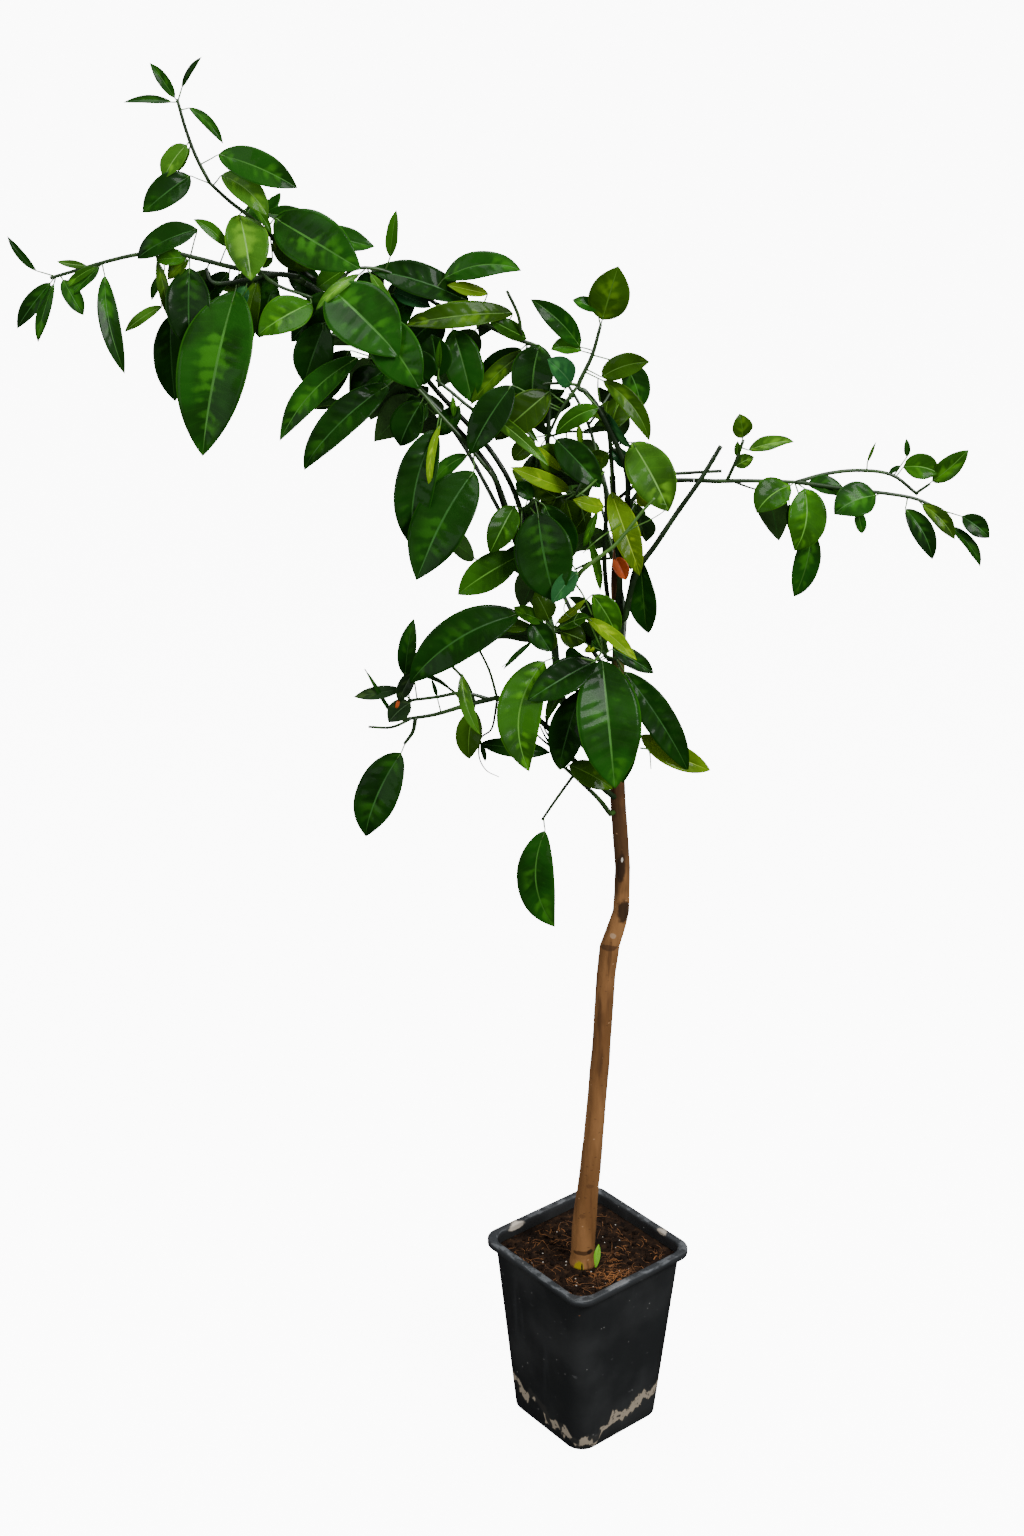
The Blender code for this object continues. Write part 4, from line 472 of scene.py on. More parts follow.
def clamp_share(value):
    return min(max(value, 0.0), 1.0)


def smooth_route(points, per):
    """Points along a smooth curve through the given ones, with a few in each span."""
    before = 2 * points[0] - points[1]
    after = 2 * points[-1] - points[-2]
    whole = [before, *points, after]
    out = [points[0]]
    for a, b, c, d in zip(whole, whole[1:], whole[2:], whole[3:]):
        for k in range(1, per + 1):
            t = k / per
            square = (2 * a - 5 * b + 4 * c - d) * t**2
            cube = (3 * b - a - 3 * c + d) * t**3
            out.append(0.5 * (2 * b + (c - a) * t + square + cube))
    return out


def along(points, share):
    """The place and direction at a share of a path's points."""
    place = clamp_share(share) * (len(points) - 1)
    k = min(int(place), len(points) - 2)
    step = points[k + 1] - points[k]
    return points[k] + (place - k) * step, step.normalized()


class Limb(NamedTuple):
    """A limb as it was grown: its middle line, its radii, the normal of its foot's flat cut, and the last
    stretch of its route, which belongs to the mass that it carries."""

    points: list
    radii: list
    foot_normal: Vector
    neck: list


def trunk_limb():
    points = [Vector((x, y, z)) * CM for z, x, y, _ in TRUNK]
    points[0].z = SOIL_TOP + GAP
    radii = [across * CM / 2 for *_, across in TRUNK]
    return Limb(points, radii, Vector((0, 0, 1)), [])


def at_height(limb, height):
    """The middle line's point, radius and direction at a height of a limb that rises."""
    for k in range(len(limb.points) - 1):
        low, high = limb.points[k : k + 2]
        if low.z <= height <= high.z:
            t = (height - low.z) / (high.z - low.z)
            radius = limb.radii[k] + t * (limb.radii[k + 1] - limb.radii[k])
            return low.lerp(high, t), radius, (high - low).normalized()
    raise ValueError("no such height on the limb")


def grow_bough(bough, limbs):
    """A tapering limb that starts clear of its parent's side or tip, with a swollen knot if it has one."""
    parent = limbs[bough.parent]
    foot_radius = bough.foot * MM / 2
    if bough.height is None:
        normal = (parent.points[-1] - parent.points[-2]).normalized()
        start = parent.points[-1] + normal * GAP
        elbow = start + normal * foot_radius
    else:
        middle, radius, way = at_height(parent, bough.height * CM)
        side = Vector((math.cos(math.radians(bough.side)), math.sin(math.radians(bough.side)), 0))
        normal = (side - way * side.dot(way)).normalized()
        start = middle + normal * (radius + 2 * GAP)
        elbow = start + normal * 1.6 * foot_radius + Vector((0, 0, 1.2 * foot_radius))
    points = [start, *smooth_route([elbow] + [Vector(point) * CM for point in bough.route], 2)]
    last = len(points) - 1
    radii = []
    for k in range(last + 1):
        t = k / last
        swell = clamp_share((t - 0.72) / 0.2) * bough.knot
        radii.append((bough.foot + t * (bough.tip - bough.foot) + swell) * MM / 2)
    if not bough.bare:
        return cut_neck(Limb(points, radii, normal, []))
    return Limb(points, radii, normal, [])


def cut_neck(limb):
    """The limb without the last stretch of its route, which is kept as its neck."""
    points = list(limb.points)
    radii = list(limb.radii)
    neck = []
    left = NECK
    while (points[-1] - points[-2]).length <= left:
        left -= (points[-1] - points[-2]).length
        neck.insert(0, points.pop())
        radii.pop()
    neck.insert(0, points.pop())
    share = left / (neck[0] - points[-1]).length
    radii[-1] = radii[-1] + share * (radii[-2] - radii[-1])
    points.append(neck[0].lerp(points[-1], share))
    return Limb(points, radii, limb.foot_normal, neck)


def grow_limbs():
    limbs = {"trunk": trunk_limb()}
    for name, bough in BOUGHS.items():
        limbs[name] = grow_bough(bough, limbs)
    return limbs


def between(values, share):
    """The value at a share of the way through a few evenly spaced ones."""
    place = clamp_share(share) * (len(values) - 1)
    k = min(int(place), len(values) - 2)
    return values[k] + (place - k) * (values[k + 1] - values[k])


def shoot_path(start, shoot):
    """A shoot's middle line, which turns evenly through its clock hands and leans."""
    steps = max(2, round(shoot.long / 2.5))
    points = [start]
    for k in range(steps):
        share = (k + 0.5) / steps
        heading = aim(between(shoot.clock, share), between(shoot.lean, share))
        points.append(points[-1] + heading * shoot.long * CM / steps)
    return points


def stem_neck(carrier, stem, limbs):
    """The foot of a mass's stem, clear of its bough's tip or of the trunk's side, and the way it faces."""
    if isinstance(carrier, str):
        limb = limbs[carrier]
        end = limb.points[-1]
        way = (limb.neck[0] - end).normalized()
        neck = [point for point in limb.neck if (point - end).length > stem.thick * MM]
        return [end + way * GAP, *neck], way
    middle, radius, _ = at_height(limbs["trunk"], carrier * CM)
    way = aim(stem.clock[0], stem.lean[0])
    way.z = 0.0
    way.normalize()
    foot = middle + way * (radius + GAP)
    return [foot, foot + way * stem.thick * MM], way


class Blade(NamedTuple):
    """A leaf as it was grown: its root, the base and heading of its blade, its face and side vectors, its
    blade's length and width in metres, its bend, sweep and fold, and its tone."""

    root: Vector
    base: Vector
    heading: Vector
    face: Vector
    side: Vector
    long: float
    wide: float
    bend: float
    sweep: float
    fold: float
    tone: str


def make_blade(root, heading, leaf, turn, front, bend, fold):
    """A leaf whose face looks up and to the front, or to the back, turned about its own length."""
    outward = Vector((0, -0.85 * front, 0.55))
    face = outward - heading * outward.dot(heading)
    if face.length < 0.05:
        face = Vector((1, 0, 0)) - heading * heading.x
    face = Matrix.Rotation(turn, 3, heading) @ face.normalized()
    if leaf.stalk:
        base = root + aim(leaf.stalk[0], leaf.lean) * leaf.stalk[1] * CM
        long = leaf.long * CM
    else:
        base = root + heading * STALK * leaf.long * CM
        long = leaf.long * (1 - STALK) * CM
    side = heading.cross(face)
    sweep = math.radians(30 * leaf.sweep)
    return Blade(root, base, heading, face, side, long, leaf.wide * CM, bend, sweep, fold, leaf.tone)


def midrib(blade, share):
    """The place at a share of the blade's length, on an arc over its chord, and its normal and side."""
    bow = blade.face * blade.bend - blade.side * blade.sweep
    place = blade.base + (blade.heading * share + bow * 0.5 * share * (1 - share)) * blade.long
    way = (blade.heading + bow * (0.5 - share)).normalized()
    normal = (blade.face - way * blade.face.dot(way)).normalized()
    return place, normal, way.cross(normal)


def leaf_sections(blade, grown=0.0):
    """Rings of four points from root to tip: left edge, upper middle, right edge, lower middle."""
    _, normal, side = midrib(blade, 0.0)
    way = normal.cross(side)
    stalk = (blade.base - blade.root).normalized()
    half = STALK_HALF + grown
    rings = []
    for place, ahead in ((blade.root, stalk), (blade.base, stalk + way)):
        turn = way.rotation_difference(ahead)
        across = turn @ side * half
        up = turn @ normal * half
        rings.append([place - across, place + up, place + across, place - up])
    half_thick = max(THICKNESS * blade.long, LEAST_THICK) / 2 + grown
    for share, width in OUTLINE if blade.wide > NARROW else NARROW_OUTLINE:
        place, normal, side = midrib(blade, share)
        lift = normal * width * blade.wide * math.sin(blade.fold)
        across = side * (width * blade.wide * math.cos(blade.fold) + grown)
        up = normal * half_thick
        rings.append([place - across + lift, place + up, place + across + lift, place - up])
    return rings


def loft(rings, tip=None):
    """Vertices and faces of a closed body through rings of points, ended by a flat cap or by a point."""
    count = len(rings[0])
    verts = [point for ring in rings for point in ring]
    faces = [tuple(reversed(range(count)))]
    for row in range(len(rings) - 1):
        for k in range(count):
            a = row * count + k
            b = row * count + (k + 1) % count
            faces.append((a, b, b + count, a + count))
    last = (len(rings) - 1) * count
    if tip is None:
        faces.append(tuple(range(last, last + count)))
    else:
        verts.append(tip)
        faces += [(last + k, last + (k + 1) % count, len(verts) - 1) for k in range(count)]
    return verts, faces


def leaf_body(blade, grown=0.0):
    tip = midrib(blade, 1.0)[0]
    return loft(leaf_sections(blade, grown), tip + blade.heading * grown)


def tube_body(points, radii, sides, foot_normal=None):
    """A tapering tube with flat ends. Its foot's ring may lie in a plane of its own, by foot_normal."""
    rings = []
    upright = None
    for k, (point, radius) in enumerate(zip(points, radii)):
        before = points[max(k - 1, 0)]
        after = points[min(k + 1, len(points) - 1)]
        way = (after - before).normalized()
        if k == 0 and foot_normal:
            way = foot_normal
        if upright is None:
            helper = Vector((0, 0, 1)) if abs(way.z) < 0.9 else Vector((0, -1, 0))
            upright = helper
        across = way.cross(upright).normalized()
        upright = across.cross(way).normalized()
        ring = []
        for j in range(sides):
            spin = 2 * math.pi * j / sides
            ring.append(point + across * radius * math.cos(spin) - upright * radius * math.sin(spin))
        rings.append(ring)
    return loft([list(reversed(ring)) for ring in rings])


def shoot_body(points, shoot, sides, foot_normal=None):
    last = len(points) - 1
    foot = shoot.thick * MM / 2
    tip = min(TWIG_TIP, shoot.thick * MM * 0.8) / 2
    radii = [foot + (tip - foot) * k / last for k in range(last + 1)]
    return tube_body(points, radii, sides, foot_normal)


def tree_of(bodies):
    """One search tree of several closed bodies."""
    verts, faces = [], []
    for body_verts, body_faces in bodies:
        faces += [tuple(len(verts) + k for k in face) for face in body_faces]
        verts += body_verts
    return BVHTree.FromPolygons(verts, faces)


def is_clear(blade, obstacles):
    tested = tree_of([leaf_body(blade, CLEAR)])
    return not any(tested.overlap(tree) for tree in obstacles)


def stated_blade(leaf, path, chance, obstacles):
    """A stated leaf, at the first lean and turn that keep clear of limbs and other masses, or None."""
    spread = ROOT_SPREAD / sum((after - before).length for before, after in zip(path, path[1:]))
    root, _ = along(path, min(max(leaf.at, 0.03), 0.985) - chance.uniform(0, spread))
    turn = chance.uniform(-TURN_SPREAD, TURN_SPREAD)
    bend = math.radians(chance.uniform(*BEND))
    fold = math.radians(chance.uniform(*FOLD))
    for extra_lean in LEANS_TRIED:
        for extra_turn in TURNS_TRIED:
            heading = aim(leaf.clock, leaf.lean + extra_lean)
            spin = math.radians(turn + extra_turn)
            blade = make_blade(root, heading, leaf, spin, 1, bend, fold)
            if is_clear(blade, obstacles):
                return blade
    return None


def is_shaded(blade, shade):
    """Whether the stated leaves cover most of a leaf, seen from the lit side."""
    points = [midrib(blade, 1.0)[0]]
    for left, _, right, _ in leaf_sections(blade)[1:]:
        points += [left, right]
    hidden = sum(1 for point in points if shade.ray_cast(point, LIT_SIDE)[0])
    return hidden >= SHADED * len(points)


def spare_blade(path, share, chance, obstacles, shade):
    """A seeded leaf on the shoot's far side that hangs a little. None where none of the tries fits."""
    root, axis = along(path, share)
    away = Vector((0, 1, 0)) - axis * axis.y
    if away.length < 0.3:
        away = Vector((1, 0, 0)) - axis * axis.x
    for _ in range(SPARE_TRIES):
        spin = Matrix.Rotation(math.radians(chance.uniform(-70, 70)), 3, axis)
        heading = (axis * 0.4 + spin @ away.normalized() + Vector((0, 0, -0.55))).normalized()
        long = chance.uniform(*SPARE_LONG)
        leaf = Leaf(share, 0, long, long * SPARE_WIDE, 0, chance.choice(SPARE_TONES))
        turn = math.radians(chance.uniform(-30, 30))
        bend = math.radians(chance.uniform(*BEND))
        fold = math.radians(chance.uniform(*FOLD))
        blade = make_blade(root, heading, leaf, turn, -1, bend, fold)
        reach = (root + heading * long * CM - path[0].lerp(path[-1], 0.5)).length
        in_space = reach < SPACE + (path[-1] - path[0]).length / 2
        if in_space and is_shaded(blade, shade) and is_clear(blade, obstacles):
            return blade
    return None


class Grown(NamedTuple):
    """A mass as it was grown: its stem's foot and the way that this faces, its shoots' paths, its leaves."""

    neck: list
    way: Vector
    paths: dict
    blades: list


def grow_shoots(carrier, shoots, limbs):
    """A mass's shoots, before any leaf."""
    neck, way = stem_neck(carrier, shoots["stem"], limbs)
    paths = {}
    for key, shoot in shoots.items():
        start = along(paths[shoot.on], min(shoot.at, 0.985))[0] if shoot.on else neck[-1]
        paths[key] = shoot_path(start, shoot)
    return Grown(neck, way, paths, [])


def shoot_bodies(name, grown, smooth=1, stem_sides=STEM_SIDES, twig_sides=TWIG_SIDES):
    """The stem and twigs of a mass as closed bodies."""
    bodies = []
    for key, shoot in MASSES[name][1].items():
        if shoot.on:
            path = smooth_route(grown.paths[key], smooth)
            bodies.append(shoot_body(path, shoot, twig_sides))
        else:
            path = [grown.neck[0], *smooth_route(grown.neck[1:] + grown.paths[key][1:], smooth)]
            bodies.append(shoot_body(path, shoot, stem_sides, grown.way))
    return bodies


def grow_masses(limbs):
    """Every mass in turn. Its leaves keep clear of the limbs and of all that the other masses have grown."""
    chance = random.Random(SEED)
    limb_tree = tree_of([limb_body(limb, BOUGH_SIDES) for limb in limbs.values()])
    grown = {name: grow_shoots(carrier, shoots, limbs) for name, (carrier, shoots) in MASSES.items()}
    trees = {name: tree_of(shoot_bodies(name, mass)) for name, mass in grown.items()}
    for spare in (False, True):
        shade = tree_of([leaf_body(blade) for mass in grown.values() for blade in mass.blades])
        for name, (_, shoots) in MASSES.items():
            obstacles = [limb_tree] + [tree for other, tree in trees.items() if other != name]
            for key, shoot in shoots.items():
                path = grown[name].paths[key]
                if spare:
                    shares = [(k + 0.6) / shoot.spare for k in range(shoot.spare)]
                    tries = [spare_blade(path, share, chance, obstacles, shade) for share in shares]
                else:
                    tries = [stated_blade(leaf, path, chance, obstacles) for leaf in shoot.leaves]
                grown[name].blades.extend(blade for blade in tries if blade)
            bodies = shoot_bodies(name, grown[name]) + [leaf_body(blade) for blade in grown[name].blades]
            trees[name] = tree_of(bodies)
    return grown


def limb_body(limb, sides):
    return tube_body(limb.points, limb.radii, sides, limb.foot_normal)


# Camera: where the photograph was taken from, with a 50 mm lens on a 36 mm tall frame
CAMERA_AT = (-7.4 * CM, -177.5 * CM, 140.7 * CM)
CAMERA_DOWN = math.radians(21.8)
LENS = 50.0
FRAME_TALL = 36.0
PHOTO_WIDE = 1024
PHOTO_TALL = 1536

# Studio: the white backdrop's strength, the even light round the tree, and the soft lamps as place, size, watts
BACKDROP = 11.0
AMBIENT = 0.55
FLOOR_HALF = 55.0
SKY_RADIUS = 56.0
LAMPS = {
    "key_light": ((1.5, -1.5, 2.6), 1.0, 92.0),
    "fill_light": ((-1.7, -1.3, 1.7), 1.4, 17.0),
    "top_light": ((-0.3, 0.3, 3.1), 1.3, 44.0),
}

# Pot: a square 15 cm nursery pot that stands turned, with one corner towards the front
POT_HEIGHT = 19.6 * CM
POT_TURN = math.radians(39.4)
RIM_HALF = 7.5 * CM
RIM_CORNER = 1.8 * CM
LIP_TALL = 0.75 * CM
UNDER_LIP_HALF = 6.9 * CM
FOOT_HALF = 5.5 * CM
FOOT_CORNER = 1.85 * CM
WALL = 1.6 * MM
FLOOR = 2.5 * MM
EDGE = 0.8 * MM
BEAD = 2.2 * MM
BEAD_STEPS = 5
CORNER_STEPS = 14
DRAIN_RADIUS = 5.0 * MM
DRAIN_OUT = 3.4 * CM
FRONT_CORNER_X = -0.9 * CM
INSIDE_BOX = 0.01 * MM

# Soil: how far its lumps rise and fall, its rings and its points round each
SOIL_BUMP = 3.2 * MM
SOIL_RINGS = 64
SOIL_AROUND = 24
FIBRES = 300
FIBRE_LONG = (0.6 * CM, 2.4 * CM)
FIBRE_HALF = (0.18 * MM, 0.42 * MM)
CLODS = 420
GRAINS = 34
LITTER_HALF = 6.2 * CM
TWIG_SWELL = 0.35 * MM
CANE_SWELL = 0.3 * MM

# Fine leaf: rows along it for each cm, columns across it, its thickness, and its relief
ROWS_PER_CM = 3.6
WIDEST = 0.44
ACROSS = (-1.0, -0.84, -0.66, -0.46, -0.26, -0.1, -0.035, 0.035, 0.1, 0.26, 0.46, 0.66, 0.84, 1.0)
BLADE_THICK = 0.35 * MM
VEINS_PER_CM = 0.95
PUCKER = 0.75 * MM
GROOVE = 0.5 * MM
TIP_HALF = 0.12 * MM

# Base colours of leaf tones: the side that faces the front, the other side, and the midrib
TONES = {
    "deep": ((0.0042, 0.032, 0.0012), (0.018, 0.060, 0.005), (0.016, 0.085, 0.008)),
    "mid": ((0.0080, 0.057, 0.0022), (0.024, 0.085, 0.006), (0.034, 0.135, 0.012)),
    "bright": ((0.0200, 0.100, 0.0014), (0.045, 0.135, 0.006), (0.070, 0.210, 0.016)),
    "olive": ((0.0240, 0.074, 0.0018), (0.012, 0.055, 0.003), (0.060, 0.150, 0.010)),
    "pale": ((0.0380, 0.128, 0.0070), (0.014, 0.075, 0.005), (0.130, 0.290, 0.050)),
    "teal": ((0.0110, 0.070, 0.0170), (0.006, 0.036, 0.006), (0.036, 0.120, 0.036)),
    "lime": ((0.0950, 0.195, 0.0010), (0.080, 0.160, 0.002), (0.180, 0.290, 0.010)),
    "dull": ((0.0130, 0.036, 0.0090), (0.030, 0.070, 0.026), (0.028, 0.065, 0.020)),
}


class Look:
    """A material in the making: colours are laid over one another by masks, and reliefs are added up."""

    def __init__(self, name, colour, roughness, **sockets):
        self.material = bpy.data.materials.new(name)
        self.material.use_nodes = True
        self.nodes = self.material.node_tree.nodes
        self.links = self.material.node_tree.links
        self.shader = self.nodes["Principled BSDF"]
        self.shader.inputs["Roughness"].default_value = roughness
        for socket, value in sockets.items():
            self.shader.inputs[socket.replace("_", " ")].default_value = value
        self.place = self.nodes.new("ShaderNodeTexCoord").outputs["Object"]
        self.colour = colour
        self.normal = None

    def feed(self, socket, value):
        """Links a socket to an output, or sets it to a constant."""
        if isinstance(value, bpy.types.NodeSocket):
            self.links.new(value, socket)
        elif isinstance(value, tuple) and len(socket.default_value) == 4:
            socket.default_value = (*value, 1.0)
        else:
            socket.default_value = value

    def fitted(self, scale, shift=(0, 0, 0)):
        """Object coordinates, scaled and then shifted."""
        fit = self.nodes.new("ShaderNodeMapping")
        fit.inputs["Scale"].default_value = scale
        fit.inputs["Location"].default_value = shift
        self.links.new(self.place, fit.inputs["Vector"])
        return fit.outputs["Vector"]

    def noise(self, scale, stretch=(1, 1, 1), detail=4.0):
        node = self.nodes.new("ShaderNodeTexNoise")
        node.inputs["Scale"].default_value = scale
        node.inputs["Detail"].default_value = detail
        self.links.new(self.fitted(stretch), node.inputs["Vector"])
        return node.outputs["Fac"]

    def grains(self, scale, stretch=(1, 1, 1)):
        """The distance to the nearest of many scattered points."""
        node = self.nodes.new("ShaderNodeTexVoronoi")
        node.inputs["Scale"].default_value = scale
        self.links.new(self.fitted(stretch), node.inputs["Vector"])
        return node.outputs["Distance"]

    def math(self, operation, first, second=0.0):
        node = self.nodes.new("ShaderNodeMath")
        node.operation = operation
        self.feed(node.inputs[0], first)
        self.feed(node.inputs[1], second)
        return node.outputs["Value"]

    def mask(self, value, low, high, most=1.0):
        """0 where the value is at low, most where it is at high, and smooth between."""
        node = self.nodes.new("ShaderNodeMapRange")
        node.interpolation_type = "SMOOTHSTEP"
        self.feed(node.inputs["Value"], value)
        node.inputs["From Min"].default_value = low
        node.inputs["From Max"].default_value = high
        node.inputs["To Max"].default_value = most
        return node.outputs["Result"]

    def axis(self, name, place=None):
        node = self.nodes.new("ShaderNodeSeparateXYZ")
        self.links.new(place or self.place, node.inputs["Vector"])
        return node.outputs[name]

    def leaf_place(self):
        """How far across its leaf a place lies, from -1 to 1, and how many side veins up from its base."""
        place = self.nodes.new("ShaderNodeTexCoord").outputs["UV"]
        return self.axis("X", place), self.axis("Y", place)

    def spot(self, centre, reach, most=1.0):
        """Most inside a ragged ellipsoid, falling to 0 at its edge."""
        scale = tuple(1 / across for across in reach)
        shift = tuple(-middle / across for middle, across in zip(centre, reach))
        node = self.nodes.new("ShaderNodeVectorMath")
        node.operation = "LENGTH"
        self.links.new(self.fitted(scale, shift), node.inputs[0])
        ragged = self.math("ADD", node.outputs["Value"], self.math("MULTIPLY", self.noise(260), 0.6))
        return self.mask(ragged, 1.3, 0.95, most)

    def lay(self, colour, mask):
        node = self.nodes.new("ShaderNodeMix")
        node.data_type = "RGBA"
        self.feed(node.inputs["Factor"], mask)
        self.feed(node.inputs[6], self.colour)
        self.feed(node.inputs[7], colour)
        self.colour = node.outputs[2]

    def relief(self, value, strength, distance):
        node = self.nodes.new("ShaderNodeBump")
        node.inputs["Strength"].default_value = strength
        node.inputs["Distance"].default_value = distance
        self.links.new(value, node.inputs["Height"])
        if self.normal:
            self.links.new(self.normal, node.inputs["Normal"])
        self.normal = node.outputs["Normal"]

    def rough(self, value, low, high):
        """Roughness from low to high by a value."""
        node = self.nodes.new("ShaderNodeMapRange")
        self.links.new(value, node.inputs["Value"])
        node.inputs["To Min"].default_value = low
        node.inputs["To Max"].default_value = high
        self.links.new(node.outputs["Result"], self.shader.inputs["Roughness"])

    def done(self):
        self.feed(self.shader.inputs["Base Color"], self.colour)
        if self.normal:
            self.links.new(self.normal, self.shader.inputs["Normal"])
        return self.material


def shaded(colour, factor):
    return tuple(min(channel * factor, 1.0) for channel in colour)


def warmed(colour, factor):
    """A lighter colour that turns towards yellow."""
    red, green, blue = shaded(colour, factor)
    return min(red * 1.35, 0.9), min(green, 0.9), blue * 0.8


def drifting(name, colour, spread, scale, roughness, bump, bump_scale, **sockets):
    """A material whose colour drifts about one tone and whose surface has a fine relief."""
    look = Look(name, shaded(colour, 1 - spread), roughness, **sockets)
    look.lay(shaded(colour, 1 + spread), look.mask(look.noise(scale), 0.35, 0.65))
    look.relief(look.noise(bump_scale, detail=6.0), bump, 0.4 * MM)
    return look.done()


def leaf_look(tone, colour):
    """A leaf's front: dark, with painted highlights on the soft bulges beside its midrib, faint side veins and a fine
    pale edge.
    """
    look = Look(f"{tone}_leaf", colour, 0.5, Specular_IOR_Level=0.05, Coat_Weight=0.07, Coat_Roughness=0.12)
    across, veins = look.leaf_place()
    edge = look.math("ABSOLUTE", across)
    crest = look.math("COSINE", look.math("MULTIPLY", veins, 2 * math.pi))
    look.lay(shaded(colour, 0.4), look.mask(look.noise(19), 0.42, 0.62, 0.85))
    # Painted highlight: the bulges between the side veins near the midrib are laid lighter and yellower
    uneven = look.math("ADD", crest, look.math("MULTIPLY", look.noise(36), 20.0))
    bulge = look.math("MULTIPLY", look.mask(uneven, 10.2, 13.2), look.mask(edge, 0.9, 0.2))
    look.lay(warmed(colour, 2.5), look.math("MULTIPLY", bulge, 0.7))
    look.lay(warmed(colour, 1.8), look.mask(crest, -0.97, -0.999, 0.12))
    look.lay(warmed(colour, 2.6), look.mask(edge, 0.94, 0.99, 0.5))
    look.relief(look.noise(110, detail=5.0), 0.35, 1.2 * MM)
    look.relief(look.noise(900, detail=6.0), 0.2, 0.3 * MM)
    return look.done()


def in_box(point):
    """The point, moved into the frame's own box if it lies outside."""
    low, high = cad_box
    return [min(max(p, a + INSIDE_BOX), b - INSIDE_BOX) for p, a, b in zip(point, low, high)]


def signed_volume(faces):
    """Six times the volume inside the faces, negative where they look inwards."""
    total = 0.0
    for face in faces:
        first, *rest = [corner.co for corner in face.verts]
        total += sum(first.dot(one.cross(two)) for one, two in zip(rest, rest[1:]))
    return total


def turn_outwards(mesh):
    """Turn the faces of every closed body in a mesh outwards."""
    shell = bmesh.new()
    shell.from_mesh(mesh)
    bmesh.ops.recalc_face_normals(shell, faces=shell.faces[:])
    left = set(shell.faces)
    for start in shell.faces[:]:
        if start not in left:
            continue
        left.remove(start)
        body = [start]
        for face in body:
            for edge in face.edges:
                for other in edge.link_faces:
                    if other in left:
                        left.remove(other)
                        body.append(other)
        if signed_volume(body) < 0:
            bmesh.ops.reverse_faces(shell, faces=body)
    shell.to_mesh(mesh)
    shell.free()


def mesh_piece(name, verts, faces, materials, indices=None, slot="foliage", sharp=None, places=None):
    mesh = bpy.data.meshes.new(name)
    mesh.from_pydata([in_box(point) for point in verts], [], faces)
    if places:
        layer = mesh.uv_layers.new(name="leaf_place")
        flat = [value for loop in mesh.loops for value in places[loop.vertex_index]]
        layer.data.foreach_set("uv", flat)
    for material in materials:
        mesh.materials.append(material)
    if indices:
        mesh.polygons.foreach_set("material_index", indices)
    turn_outwards(mesh)
    mesh.shade_smooth()
    if sharp:
        mesh.set_sharp_from_angle(angle=math.radians(sharp))
    piece = bpy.data.objects.new(name, mesh)
    bpy.context.scene.collection.objects.link(piece)
    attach(piece, "root")
    return piece


class Gathered:
    """Bodies of one kind, gathered into one mesh."""

    def __init__(self):
        self.verts = []
        self.faces = []
        self.indices = []
        self.places = []

    def add(self, verts, faces, index=0, places=()):
        base = len(self.verts)
        self.verts += verts
        self.places += places
        self.faces += [tuple(base + k for k in face) for face in faces]
        self.indices += [index] * len(faces) if isinstance(index, int) else index


def outline_half(share, wide):
    """Half the blade's width at a share of its length: round at its base, drawn out to a fine tip."""
    rise = math.sin(math.pi / 2 * min(share / WIDEST, 1.0)) ** 0.62
    past = max((share - WIDEST) / (1 - WIDEST), 0.0) ** 1.25
    fall = math.cos(math.pi / 2 * past) ** 0.9
    return wide / 2 * rise * fall


